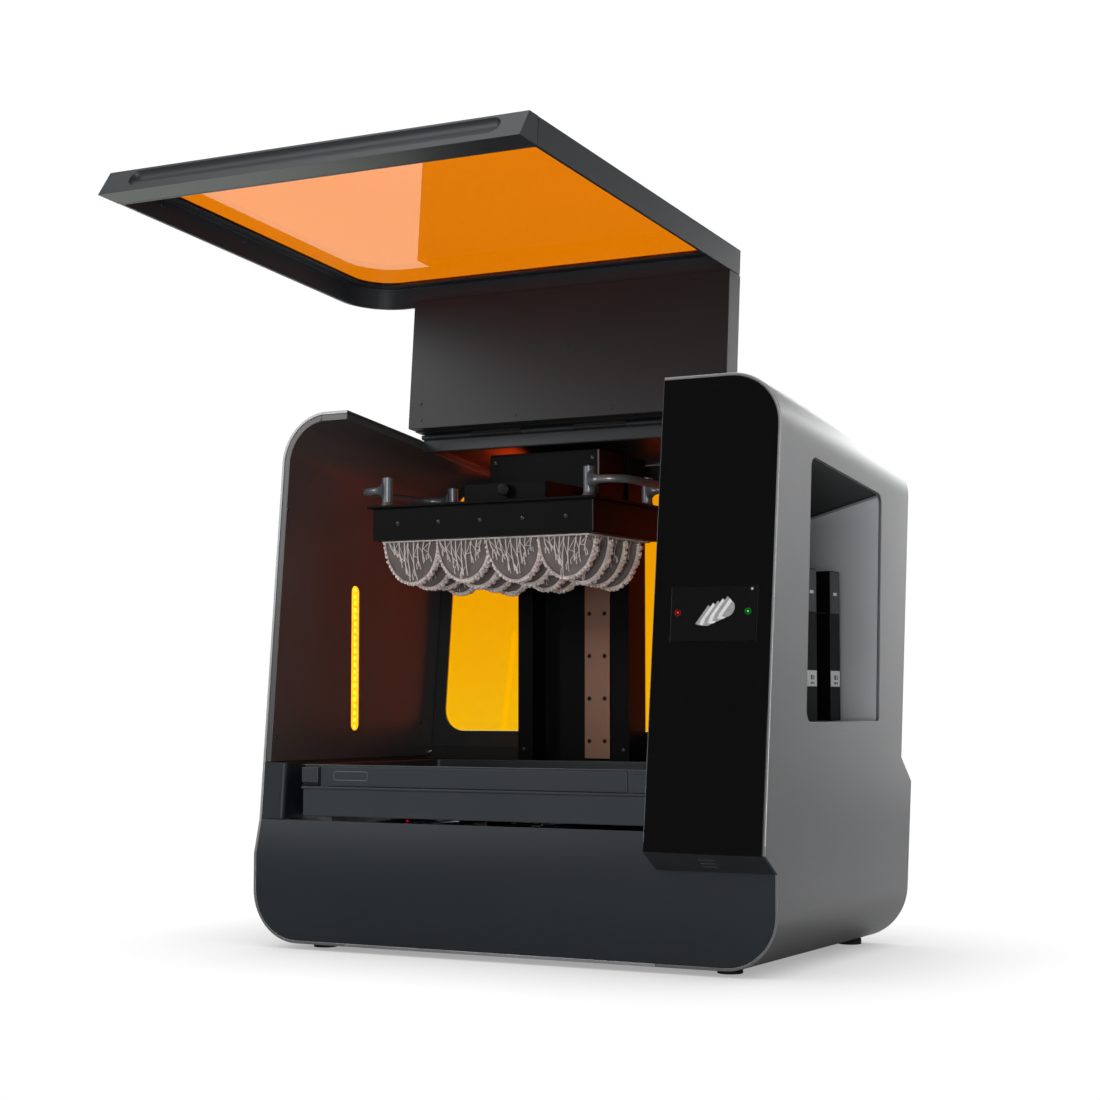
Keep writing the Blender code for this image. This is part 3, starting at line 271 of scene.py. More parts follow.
# ---- CAD nodes
def soften(obj, width):
    """Bevel the sharp edges of an object."""
    edge = obj.modifiers.new("edge", "BEVEL")
    edge.width = width
    edge.segments = 2
    edge.limit_method = "ANGLE"
    edge.angle_limit = BEVEL_ANGLE
    edge.harden_normals = True


def dress(node, mat, bevel):
    """Give a CAD node its finish, and soften its edges."""
    obj = NODES[node]
    obj.data.materials.clear()
    obj.data.materials.append(mat)
    custom = obj.data.attributes.get("custom_normal")
    if custom is not None:
        obj.data.attributes.remove(custom)
    obj.data.shade_smooth()
    obj.modifiers.new("weld", "WELD").merge_threshold = 1e-5
    soften(obj, bevel)


# finish, edge bevel in metres, nodes
FINISHES = (
    (SILVER, 0.0006, "left_shell right_shell"),
    (BAY, 0.0008, "cartridge_bay"),
    (ZINC, 0.0006, "bottom_pan light_bed"),
    (PANEL, 0.0012, "lower_front_panel"),
    (PANEL, 0.0020, "left_front_post"),
    (GRAPHITE_PAINTED_SHADE, 0.0008, "rear_top_panel"),
    (GRAPHITE_PAINTED_SHADE, 0.0006, "rear_cover"),
    (AMBER_REAR, 0.0003, "rear_window"),
    (GRAPHITE, 0.0008, "rear_lower_cover column_chin cover_handle_bar"),
    (CHAMBER, 0.0008, "left_liner"),
    (CHAMBER, 0.0006, "partition_wall chamber_deck"),
    (LED_BAR, 0.0006, "led_strip_left led_strip_right"),
    (GLOSS_BLACK, 0.0010, "screen_column_glass"),
    (SCREEN, 0.0002, "touch_display"),
    (GRAPHITE, 0.0010, "cover_frame"),
    (AMBER, 0.0002, "cover_window"),
    (GRAPHITE_PAINTED_SHADE, 0.0015, "cover_top_pan"),
    (BLACK_METAL, 0.0006, "tower_column"),
    (RAIL_PAINTED_REFLECTION, 0.0004, "tower_rail_plate"),
    (BRONZE, 0.0003, "lift_screw"),
    (BLACK_METAL, 0.0015, "lift_motor platform_mount light_engine_left light_engine_right"),
    (BLACK_METAL, 0.0012, "lift_carriage cartridge_front cartridge_rear"),
    (HANDLE_STEEL, 0.0006, "platform_lock platform_handle_left platform_handle_right"),
    (BLACK_METAL, 0.0010, "build_platform"),
    (RESIN, 0.0006, "printed_models"),
    (TANK, 0.0015, "resin_tank"),
    (FILM, 0.0002, "tank_film"),
    (BLACK_PLASTIC, 0.0010, "tank_mixer"),
    (ZINC, 0.0008, "tank_rail_left tank_rail_right power_supply"),
    (STEEL, 0.0006, "light_rail_front light_rail_rear"),
    (BOARD, 0.0002, "control_board"),
    (BLACK_PLASTIC, 0.0006, "fan_frame power_rocker"),
    (BLACK_PLASTIC, 0.0004, "fan_rotor"),
    (BLACK_PLASTIC, 0.0008, "power_inlet"),
    (GRAPHITE, 0.0002, "hinge_leaf_fixed"),
    (GRAPHITE_PAINTED_SHADE, 0.0002, "hinge_leaf_cover"),
    (RUBBER, 0.0010, "foot_front_left foot_front_right foot_rear_left foot_rear_right"),
)
for finish, bevel_width, node_names in FINISHES:
    for node_name in node_names.split():
        dress(node_name, finish, bevel_width)


# ---- mesh helpers
def add_to_scene(name, data):
    obj = bpy.data.objects.new(name, data)
    bpy.context.scene.collection.objects.link(obj)
    return obj


def make_piece(name, bm, mat, body="cabinet", replaces=(), place=SHIFT, smooth=35.0, bevel=0.0):
    """Turn a bmesh laid out in the machine frame, or in place's frame, into a piece of the object."""
    bm.transform(place)
    bmesh.ops.recalc_face_normals(bm, faces=bm.faces)
    mesh = bpy.data.meshes.new(name)
    bm.to_mesh(mesh)
    bm.free()
    mesh.shade_smooth()
    mesh.set_sharp_from_angle(angle=math.radians(smooth))
    mesh.materials.append(mat)
    obj = add_to_scene(name, mesh)
    if bevel > 0:
        soften(obj, bevel)
    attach(obj, body)
    if replaces:
        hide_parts(*replaces)


def add_prism(bm, points, offset):
    """A flat outline of 3-D points pushed along offset."""
    low = [bm.verts.new(p) for p in points]
    high = [bm.verts.new(Vector(p) + Vector(offset)) for p in points]
    bm.faces.new(low)
    bm.faces.new(high)
    for k in range(len(points)):
        j = (k + 1) % len(points)
        bm.faces.new((low[k], low[j], high[j], high[k]))


def add_box(bm, low, high):
    add_prism(bm, [(low[0], low[1], low[2]), (high[0], low[1], low[2]), (high[0], high[1], low[2]),
                   (low[0], high[1], low[2])], (0, 0, high[2] - low[2]))


def move_since(bm, start, place):
    """Move the vertices added since there were start of them."""
    bm.verts.ensure_lookup_table()
    bmesh.ops.transform(bm, matrix=place, verts=bm.verts[start:])


def loft(bm, rings, closed=False):
    """Join rings of points with quads; an open loft is capped at both ends."""
    verts = [[bm.verts.new(p) for p in ring] for ring in rings]
    pairs = list(zip(verts, verts[1:]))
    if closed:
        pairs.append((verts[-1], verts[0]))
    count = len(verts[0])
    for one, two in pairs:
        for k in range(count):
            bm.faces.new((one[k], one[(k + 1) % count], two[(k + 1) % count], two[k]))
    if not closed:
        bm.faces.new(verts[0])
        bm.faces.new(verts[-1])


def ring_at(centre, u, v, radius, steps):
    return [Vector(centre) + u * radius * math.cos(2 * math.pi * k / steps)
            + v * radius * math.sin(2 * math.pi * k / steps) for k in range(steps)]


def across(axis):
    """Two unit vectors square to an axis."""
    axis = Vector(axis).normalized()
    side = Vector((0, 0, 1)) if abs(axis.z) < 0.9 else Vector((1, 0, 0))
    u = side.cross(axis).normalized()
    return u, axis.cross(u)


def add_turned(bm, start, axis, profile, steps=20):
    """A turned shape: profile is (distance along axis, radius) pairs."""
    axis = Vector(axis).normalized()
    u, v = across(axis)
    loft(bm, [ring_at(Vector(start) + axis * d, u, v, r, steps) for d, r in profile])


def add_tube(bm, path, radius, steps=6):
    """A round tube along a path; radius is one number or one per point."""
    path = [Vector(p) for p in path]
    radii = radius if isinstance(radius, (list, tuple)) else [radius] * len(path)
    rings = []
    u = None
    for i, point in enumerate(path):
        tangent = (path[min(i + 1, len(path) - 1)] - path[max(i - 1, 0)]).normalized()
        if u is None:
            u = across(tangent)[0]
        u = (u - tangent * u.dot(tangent)).normalized()
        rings.append(ring_at(point, u, tangent.cross(u), radii[i], steps))
    loft(bm, rings)


def add_screw(bm, centre, axis, radius=0.0024):
    """A low domed screw head with a round socket."""
    axis = Vector(axis).normalized()
    u, v = across(axis)
    centre = Vector(centre)
    profile = ((-0.0006, 1.0), (0.25, 1.0), (0.45, 0.86), (0.55, 0.60))
    rings = [ring_at(centre + axis * (d * radius if d > 0 else d), u, v, r * radius, 12)
             for d, r in profile]
    rings += [ring_at(centre + axis * depth * radius, u, v, 0.45 * radius, 12) for depth in (0.55, 0.12)]
    loft(bm, rings)


def rounded(corners, radii, steps=5):
    """A 2-D polygon with rounded corners; radii is one number or one per corner."""
    if not isinstance(radii, (list, tuple)):
        radii = [radii] * len(corners)
    points = []
    for i, corner in enumerate(corners):
        here = Vector(corner)
        before = (Vector(corners[i - 1]) - here).normalized()
        after = (Vector(corners[(i + 1) % len(corners)]) - here).normalized()
        if radii[i] <= 0:
            points.append(tuple(here))
            continue
        half = before.angle(after) / 2
        centre = here + (before + after).normalized() * radii[i] / math.sin(half)
        start = here + before * radii[i] / math.tan(half) - centre
        sweep = start.angle_signed(here + after * radii[i] / math.tan(half) - centre)
        points += [tuple(centre + Matrix.Rotation(-sweep * k / steps, 2) @ start) for k in range(steps + 1)]
    return points


def rectangle(a0, a1, b0, b1, radii=0.0, steps=5):
    return rounded([(a0, b0), (a1, b0), (a1, b1), (a0, b1)], radii, steps)


# ---- printed models
ARCH_HALF, ARCH_DROP, ARCH_THICK = 0.0430, 0.0600, 0.0035
ARCH_COLUMNS, ARCH_ROWS = 4, 4
BAND_DEPTH = 0.0130
BRACE_R = 0.00050


def arch_point(share, half, drop):
    """A point on a hanging half ellipse; share runs 0 to 1 from its left end to its right end."""
    turn = math.pi * (1 + share)
    return Vector((half * math.cos(turn), 0, drop * math.sin(turn)))


def add_plate(bm, place, drop):
    """The base plate of one dental arch: a thin half oval with a raised lip."""
    start = len(bm.verts)
    steps = 28
    rim = [arch_point(i / steps, ARCH_HALF - 0.006, drop - 0.007) for i in range(steps + 1)]
    add_prism(bm, rim, (0, ARCH_THICK, 0))
    add_tube(bm, rim, 0.0011, 6)
    move_since(bm, start, place)


def add_teeth(bm, place, drop, rng):
    """The gum band round one dental arch and the rows of teeth along its outer side."""
    start = len(bm.verts)
    steps = 30
    sections = []
    for i in range(steps + 1):
        share = i / steps
        swell = 1 + 0.05 * math.sin(9 * math.pi * share)
        outer = arch_point(share, ARCH_HALF - 0.0022, (drop - 0.0022))
        inner = arch_point(share, ARCH_HALF - 0.0085, drop - 0.0095)
        depth = BAND_DEPTH * swell
        sections.append([outer + Vector((0, 0.0030, 0)), inner + Vector((0, 0.0005, 0)),
                         inner + Vector((0, depth * 0.8, 0)), outer + Vector((0, depth, 0))])
    loft(bm, sections)
    for inset, back, size, count in ((0.0026, 0.0022, 0.0027, 27), (0.0018, 0.0072, 0.0034, 21),
                                     (0.0024, 0.0128, 0.0036, 17)):
        for i in range(count):
            share = (i + 0.5 + rng.uniform(-0.15, 0.15)) / count
            centre = arch_point(share, ARCH_HALF - inset, drop - inset)
            centre += Vector((0, back + rng.uniform(-0.0010, 0.0010), 0))
            squash = Matrix.Diagonal((1.0, rng.uniform(1.0, 1.5), rng.uniform(0.85, 1.2), 1.0))
            bmesh.ops.create_icosphere(bm, subdivisions=1, radius=size * rng.uniform(0.84, 1.18),
                                       matrix=Matrix.Translation(centre) @ squash)
    move_since(bm, start, place)


def add_supports(bm, place, drop, ceiling, rng):
    """Struts from the raft down in front of one arch, tied together by long zigzag braces."""
    columns = 9
    tops, knees, feet = [], [], []
    for i in range(columns):
        side = 2 * (i + 0.5) / columns - 1
        x = ARCH_HALF * 0.80 * side + rng.uniform(-0.0015, 0.0015)
        reach = 0.30 + 0.48 * math.exp(-(side * 2.0) ** 2) + rng.uniform(-0.08, 0.08)
        foot = place @ Vector((x * 0.85, -0.0010, -drop * reach))
        top = place @ Vector((x, rng.uniform(-0.009, -0.004), 0))
        top.z = ceiling
        tops.append(top)
        feet.append(foot)
        knees.append(top.lerp(foot, 0.5) + Vector((0, -0.003, 0)))
        add_tube(bm, [top, knees[-1], foot], [0.00080, 0.00070, 0.0010], 5)
        for _ in range(2):
            tip = foot + Vector((rng.uniform(-0.006, 0.006), rng.uniform(0.0, 0.001),
                                 rng.uniform(-0.007, -0.001)))
            add_tube(bm, [knees[-1].lerp(foot, 0.5), Vector((tip.x, tip.y - 0.002, tip.z + 0.006)), tip],
                     [0.0005, 0.0006, 0.0009], 4)
    for i in range(columns - 1):
        brace = [tops[i].lerp(knees[i], 0.35 + 0.5 * (i % 2)), knees[i + 1].lerp(feet[i + 1], 0.3)]
        add_tube(bm, brace, BRACE_R, 4)
        if i % 2:
            add_tube(bm, [knees[i], tops[i + 1]], BRACE_R, 4)
    for side in (0, 1):
        for i in range(6):
            share = 0.03 + 0.045 * i
            edge = arch_point(share if side == 0 else 1 - share, ARCH_HALF - 0.001, drop)
            foot = place @ (edge + Vector((0, rng.uniform(0.0, 0.010), 0)))
            add_tube(bm, [Vector((foot.x + rng.uniform(-0.0015, 0.0015), foot.y, ceiling)), foot],
                     [0.0007, 0.0009], 4)


def build_prints():
    """The batch hanging under the platform: raft, supports and overlapping rows of arches."""
    low, high = machine_box("printed_models")
    rng = random.Random(11)
    ceiling = high.z - 0.0012
    plates, teeth, supports = bmesh.new(), bmesh.new(), bmesh.new()
    for row in range(ARCH_ROWS):
        for column in range(ARCH_COLUMNS):
            spread_x = (high.x - low.x - 2 * ARCH_HALF) / (ARCH_COLUMNS - 1)
            x = low.x + ARCH_HALF + spread_x * column + rng.uniform(-0.001, 0.001)
            y = low.y + 0.010 + row * 0.042 + (0.004 if column % 2 else 0.0)
            drop = ARCH_DROP + rng.uniform(-0.003, 0.004) + (0.003 * row)
            roll = rng.uniform(1, 9) if column % 2 else rng.uniform(-2, 4)
            place = (Matrix.Translation((x, y, high.z - 0.002))
                     @ Matrix.Rotation(math.radians(rng.uniform(4, 12)), 4, "Z")
                     @ Matrix.Rotation(math.radians(rng.uniform(5, 13)), 4, "X")
                     @ Matrix.Rotation(math.radians(roll), 4, "Y"))
            add_plate(plates, place, drop)
            add_teeth(teeth, place, drop, rng)
            add_supports(supports, place, drop, ceiling, rng)
    add_raft(supports, low, high, rng)
    make_piece("arch_plates", plates, RESIN, "lift_stage", ["printed_models"], smooth=50)
    make_piece("arch_teeth", teeth, TOOTH_RESIN, "lift_stage", smooth=80)
    make_piece("print_supports", supports, SUPPORT_RESIN, "lift_stage", smooth=50)


def add_raft(bm, low, high, rng):
    """A thin raft with a ragged edge."""
    outline = []
    corners = [(low.x, low.y), (high.x, low.y), (high.x, high.y), (low.x, high.y)]
    for i, corner in enumerate(corners):
        after = corners[(i + 1) % 4]
        for k in range(24):
            x, y = Vector(corner).lerp(Vector(after), k / 24)
            inset = rng.uniform(0.0, 0.0035)
            middle = Vector(((low.x + high.x) / 2, (low.y + high.y) / 2))
            pull = (middle - Vector((x, y))).normalized() * inset
            outline.append((x + pull.x, y + pull.y, high.z - 0.0018))
    add_prism(bm, outline, (0, 0, 0.0016))


# ---- chamber detail
PLATFORM_X1, PLATFORM_Y0, PLATFORM_Z1 = 0.085, 0.100, 0.6031
CARRIAGE_FACE_Y = 0.285
POSTS_Y = (0.115, 0.290)
POSTS_X = ((-0.246, -1), (0.071, 1))
POST_R, POST_TOP = 0.0075, 0.643
TUBE_R, TUBE_Z = 0.0056, 0.6255


def build_lift_detail():
    """Screws, post collars and the turned knob on the build platform; thread on the lift screw."""
    screws = bmesh.new()
    for i in range(5):
        add_screw(screws, (-0.2188 + i * 0.0659, PLATFORM_Y0, 0.5768), (0, -1, 0), 0.0030)
    for x, _ in POSTS_X:
        for y in POSTS_Y:
            add_screw(screws, (x, y, POST_TOP), (0, 0, 1), 0.0042)
    for x in (-0.170, -0.012):
        for z in (0.622, 0.676):
            add_screw(screws, (x, CARRIAGE_FACE_Y, z), (0, -1, 0), 0.0030)
    make_piece("platform_screws", screws, DARK_SCREW, "lift_stage", smooth=30)
    low, high = machine_box("lift_carriage")
    # Thin light strips on the carriage's right edge and the platform's front corner: painted highlights.
    edge = bmesh.new()
    add_box(edge, (high.x - 0.0022, low.y - 0.0006, 0.6450),
            (high.x + 0.0004, low.y + 0.0012, high.z - 0.0005))
    add_box(edge, (PLATFORM_X1 - 0.0008, PLATFORM_Y0 - 0.0004, 0.5560),
            (PLATFORM_X1 + 0.0002, PLATFORM_Y0 + 0.0006, 0.5975))
    make_piece("edge_highlight_strips", edge, GREY_EDGE_HIGHLIGHT, "lift_stage", bevel=0.0002)

    collars = bmesh.new()
    for x, side in POSTS_X:
        for y in POSTS_Y:
            add_turned(collars, (x, y, PLATFORM_Z1), (0, 0, 1),
                       ((0, POST_R + 0.0026), (0.0012, POST_R + 0.0022), (0.0030, POST_R + 0.0006),
                        (0.0055, POST_R + 0.0001), (0.0060, POST_R - 0.0005)), 28)
            add_turned(collars, (x, y, TUBE_Z), (side, 0, 0),
                       ((POST_R * 0.5, TUBE_R + 0.0075), (POST_R * 0.9, TUBE_R + 0.0052),
                        (POST_R + 0.0012, TUBE_R + 0.0032), (POST_R + 0.0038, TUBE_R + 0.0014),
                        (POST_R + 0.0075, TUBE_R + 0.0003), (POST_R + 0.0110, TUBE_R - 0.0002)), 28)
    make_piece("handle_collars", collars, HANDLE_STEEL, "lift_stage", smooth=50)

    low, high = machine_box("platform_lock")
    centre = (low + high) / 2
    radius = (high.x - low.x) / 2
    knob = bmesh.new()
    add_turned(knob, (centre.x, low.y, centre.z), (0, 1, 0),
               ((0, radius * 0.60), (0.0004, radius * 0.82), (0.0014, radius * 0.92),
                (0.0030, radius * 0.92), (0.0034, radius * 0.80), (high.y - low.y, radius * 0.80)), 28)
    for k in range(24):
        turn = 2 * math.pi * k / 24
        spoke = Vector((math.cos(turn), 0, math.sin(turn))) * radius * 0.91
        add_tube(knob, [Vector((centre.x, low.y + 0.0015, centre.z)) + spoke,
                        Vector((centre.x, low.y + 0.0030, centre.z)) + spoke], radius * 0.085, 6)
    add_box(knob, (centre.x - radius * 0.08, low.y - 0.0003, centre.z),
            (centre.x + radius * 0.08, low.y + 0.0006, centre.z + radius * 0.55))
    make_piece("platform_lock_knob", knob, BLACK_PLASTIC, "platform_lock_lever", ["platform_lock"],
               smooth=40)

    low, high = machine_box("lift_screw")
    axis = (low + high) / 2
    crest, root = (high.x - low.x) / 2, (high.x - low.x) / 2 - 0.0016
    lead, around, rows_per_turn = 0.004, 16, 4
    height = high.z - low.z - 0.004
    rows = int(height / lead * rows_per_turn)
    rings = []
    for row in range(rows + 1):
        z = low.z + 0.002 + height * row / rows
        ring = []
        for k in range(around):
            phase = (z / lead - k / around) % 1.0
            radius = root + (crest - root) * abs(2 * phase - 1)
            turn = 2 * math.pi * k / around
            ring.append((axis.x + radius * math.cos(turn), axis.y + radius * math.sin(turn), z))
        rings.append(ring)
    thread = bmesh.new()
    loft(thread, rings)
    for z0, z1 in ((low.z, low.z + 0.003), (high.z - 0.003, high.z)):
        add_turned(thread, (axis.x, axis.y, z0), (0, 0, 1),
                   ((0, root * 0.9), (0.0006, root), (z1 - z0, root)), 20)
    make_piece("lift_screw_thread", thread, BRONZE, "screw", ["lift_screw"], smooth=25)


def build_led_dots():
    """The single lamps that show through the two light strips."""
    dots = bmesh.new()
    for strip, side in (("led_strip_left", 1), ("led_strip_right", -1)):
        low, high = machine_box(strip)
        x = high.x if side > 0 else low.x
        middle = (low.y + high.y) / 2
        count = 21
        for i in range(count):
            z = low.z + (high.z - low.z) * (i + 0.5) / count
            add_turned(dots, (x - side * 0.0002, middle, z), (side, 0, 0),
                       ((0, 0.0030), (0.0004, 0.0028), (0.0007, 0.0018), (0.0008, 0.0006)), 10)
    make_piece("led_dots", dots, LED_DOT, smooth=60)


LEFT_TAB_X1 = -0.2850
LAMP_PLACE = (-0.1527, 0.0240, 0.1745)


def build_tank_detail():
    """The moulded front of the resin tank: ledge, lower band, end tabs and a plain embossed outline; the
    outline and the top edge are drawn lighter, as painted highlight.
    """
    low, high = machine_box("resin_tank")
    front = low.y
    back = front + 0.0008
    bm = bmesh.new()
    add_box(bm, (low.x + 0.004, front - 0.0032, low.z + 0.0004), (high.x - 0.004, back, 0.2150))
    add_box(bm, (low.x + 0.002, front - 0.0050, 0.2146), (high.x - 0.002, back, 0.2182))
    add_box(bm, (low.x + 0.0020, front - 0.0036, 0.2232), (LEFT_TAB_X1, back, 0.2440))
    add_box(bm, (-0.2690, front - 0.0016, 0.2185), (0.1800, back, 0.2450))
    add_box(bm, (0.1880, front - 0.0030, 0.2185), (high.x - 0.0020, back, 0.2420))
    make_piece("tank_front", bm, TANK, bevel=0.0012)
    # The raised outline and the top edge are drawn in a lighter grey: painted highlight.
    trim = bmesh.new()
    outline = rectangle(-0.2600, -0.2060, 0.2270, 0.2385, 0.0035, 4)
    path = [(x, front - 0.0017, z) for x, z in outline]
    loft(trim, [ring_at(p, (Vector(path[i - 1]) - Vector(path[(i + 1) % len(path)])).normalized().cross(
        Vector((0, 1, 0))), Vector((0, 1, 0)), 0.0006, 6) for i, p in enumerate(path)], closed=True)
    add_tube(trim, [(low.x + 0.003, front - 0.0004, high.z), (high.x - 0.003, front - 0.0004, high.z)],
             0.0006, 6)
    make_piece("tank_outline", trim, TANK_EDGE_HIGHLIGHT, smooth=60)
    # The groove above the ledge and the slit beside the left tab are black: painted shade in the recesses.
    slots = bmesh.new()
    add_box(slots, (low.x + 0.0030, front - 0.0024, 0.2184), (LEFT_TAB_X1, front + 0.0004, 0.2230))
    add_box(slots, (-0.2846, front - 0.0006, 0.1800), (-0.2826, front + 0.0004, 0.2440))
    make_piece("tank_slot_shade", slots, BLACK_PLASTIC, bevel=0.0003)
    lamp = bmesh.new()
    add_turned(lamp, LAMP_PLACE, (0, -1, 0),
               ((0, 0.0018), (0.0008, 0.0017), (0.0013, 0.0011), (0.0015, 0.0004)), 12)
    make_piece("tank_sensor_lamp", lamp, DIM_LAMP, smooth=60)


def build_chamber_screws():
    """Screws on the chamber's linings and the tower, and black discs in pairs down the rail plate, painted
    shade in its holes.
    """
    bm = bmesh.new()
    wall = -0.3720
    for y, z in ((0.0310, 0.2833), (0.0400, 0.460), (0.0550, 0.600), (0.405, 0.300), (0.405, 0.520)):
        add_screw(bm, (wall, y, z), (1, 0, 0), 0.0024)
    for z in (0.262, 0.672):
        for x in (-0.172, -0.008):
            add_screw(bm, (x, 0.372, z), (0, -1, 0), 0.0028)
    for z in (0.285, 0.440, 0.600):
        add_screw(bm, (0.2238, 0.060, z), (-1, 0, 0), 0.0026)
    make_piece("chamber_screws", bm, DARK_SCREW, smooth=30)
    # Black discs at the rail plate's hole pairs: painted shade in the holes.
    holes = bmesh.new()
    for i in range(7):
        for x in (-0.0620, -0.0372):
            add_turned(holes, (x, 0.3700, 0.275 + 0.0613 * i), (0, -1, 0),
                       ((0, 0.0032), (0.0011, 0.0032), (0.0013, 0.0026), (0.0004, 0.0020)), 16)
    make_piece("rail_hole_shade", holes, BLACK_PLASTIC, smooth=40)


# ---- screen, cartridges, cover
def flat_shape(bm, points, w0, w1):
    """A flat outline of (x, v) points standing on the leaning front."""
    add_prism(bm, [(x, w0, v) for x, v in points], (0, w1 - w0, 0))


def disc(x, v, radius, steps=24, squash=1.0, turn=0.0, share=1.0):
    """A disc, or part of one, as (x, v) points."""
    points = []
    for k in range(steps + 1 if share < 1 else steps):
        angle = 2 * math.pi * share * k / steps
        a, b = radius * math.cos(angle), radius * squash * math.sin(angle)
        points.append((x + a * math.cos(turn) - b * math.sin(turn),
                       v + a * math.sin(turn) + b * math.cos(turn)))
    return points


def build_screen():
    """The lit picture on the touch display: a model preview, two round buttons and a cross."""
    x0, x1, v0, v1 = 0.247, 0.362, 0.2566, 0.3250
    face = -0.0002
    field = bmesh.new()
    margin = 0.0010
    outline = rectangle(x0 + margin, x1 - margin, v0 + margin, v1 - margin, 0.0020, 4)
    flat_shape(field, outline, face, face + 0.0004)
    make_piece("screen_field", field, SCREEN_FIELD, place=TILT_FRAME)
    pale = bmesh.new()
    grey = bmesh.new()
    for i in range(5):
        x, v = x0 + 0.0445 + i * 0.0063, v0 + 0.0285 + i * 0.0026
        for j in range(3):
            bm = pale if (i + j) % 2 else grey
            petal = disc(x + 0.0040 * j - 0.002, v - 0.0018 * j + 0.005, 0.0140 - 0.0014 * j, 18,
                         0.85, -2.2, 0.5)
            flat_shape(bm, petal, face - 0.0001 - 0.00002 * (3 * i + j), face)
    cross = Vector((x1 - 0.0070, v1 - 0.0045))
    reach, half = 0.0020, 0.00035
    for turn in (1, -1):
        along = Vector((1, turn)).normalized()
        side = Vector((-along.y, along.x))
        flat_shape(pale, [tuple(cross + along * reach * a + side * half * b)
                          for a, b in ((-1, -1), (1, -1), (1, 1), (-1, 1))], face - 0.0002, face)
    make_piece("screen_preview_light", pale, PALE_PRINT, place=TILT_FRAME)
    make_piece("screen_preview_dark", grey, PREVIEW_GREY, place=TILT_FRAME)
    for name, share, mat in (("screen_button_left", 0.086, RED_LAMP),
                             ("screen_button_right", 0.900, GREEN_LAMP)):
        x, v = x0 + (x1 - x0) * share, v0 + (v1 - v0) * 0.53
        bm = bmesh.new()
        flat_shape(bm, disc(x, v, 0.0012), face - 0.0002, face)
        loft(bm, [[(x + r * math.cos(t), face + d, v + r * math.sin(t)) for r, d in
                   ((0.0037, 0.0), (0.0037, -0.0002), (0.0038, -0.0002), (0.0038, 0.0))]
                  for t in (2 * math.pi * k / 28 for k in range(28))], closed=True)
        make_piece(name, bm, mat, place=TILT_FRAME)


def build_cartridge_detail():
    """Caps, plain label blocks and seams on the two resin cartridges."""
    for name, body in (("cartridge_front", "cartridge_1"), ("cartridge_rear", "cartridge_2")):
        low, high = machine_box(name)
        face, inset = high.x, 0.0018
        cap = bmesh.new()
        cap_z = high.z - 0.0570
        add_box(cap, (face - 0.0004, low.y + inset, cap_z), (face + 0.0006, high.y - inset, high.z - 0.0015))
        add_box(cap, (low.x + 0.006, low.y - 0.0005, cap_z), (face - 0.006, low.y + 0.0004, cap_z + 0.0010))
        make_piece(name + "_cap", cap, CARTRIDGE_CAP, body, bevel=0.0003)
        label = bmesh.new()
        add_box(label, (face - 0.0003, low.y + inset, low.z + 0.0455),
                (face + 0.0004, high.y - inset, low.z + 0.0665))
        add_box(label, (face - 0.0003, low.y + 0.012, high.z - 0.0330),
                (face + 0.0009, high.y - 0.012, high.z - 0.0290))
        make_piece(name + "_label", label, LABEL, body, bevel=0.0001)
        print_block = bmesh.new()
        middle = (low.y + high.y) / 2
        cell = 0.0030
        for row in range(5):
            for column in range(5):
                if (row * 3 + column * 5 + row * column) % 3:
                    y, z = middle - 0.0075 + column * cell, low.z + 0.0485 + row * cell
                    add_box(print_block, (face, y, z), (face + 0.0006, y + cell, z + cell))
        make_piece(name + "_label_pattern", print_block, LABEL_GREY, body)
        seam = bmesh.new()
        seam_x = face - 0.0220
        add_tube(seam, [(seam_x, low.y, low.z + 0.004), (seam_x, low.y, high.z - 0.004)], 0.0006, 6)
        add_screw(seam, (seam_x, low.y, high.z - 0.008), (0, -1, 0), 0.0022)
        make_piece(name + "_seam", seam, CARTRIDGE_CAP, body)


def build_trims():
    """A strip that closes the slit between deck and rear cover, and painted highlights along the glass
    column's edges.
    """
    gasket = bmesh.new()
    x0, x1, top = -0.3680, 0.2220, 0.2625
    add_box(gasket, (x0, 0.4290, 0.2454), (x1, 0.4357, top))
    add_tube(gasket, [(x0, 0.4300, top), (x1, 0.4300, top)], 0.0010, 8)
    make_piece("rear_gasket", gasket, RUBBER, smooth=50)
    # Light tubes along the glass column's edges: painted highlights.
    edge = bmesh.new()
    centre = Vector((HALF - CORNER_R, FRONT_LENGTH - CORNER_R))
    inset, w, steps = 0.0009, 0.0002, 14
    path = [(HALF - inset, w, 0.012), (HALF - inset, w, 0.25)]
    for k in range(steps + 1):
        turn = math.pi / 2 * k / steps
        path.append((centre.x + (CORNER_R - inset) * math.cos(turn), w,
                     centre.y + (CORNER_R - inset) * math.sin(turn)))
    path.append((0.2245, w, FRONT_LENGTH - inset))
    add_tube(edge, path, 0.0008, 8)
    make_piece("column_edge_highlight", edge, BRIGHT_EDGE_HIGHLIGHT, place=TILT_FRAME, smooth=60)
    line = bmesh.new()
    add_tube(line, [(0.2240, -0.0002, 0.012), (0.2240, -0.0002, FRONT_LENGTH - 0.003)], 0.0004, 6)
    make_piece("column_left_edge_highlight", line, GREY_EDGE_HIGHLIGHT, place=TILT_FRAME, smooth=60)


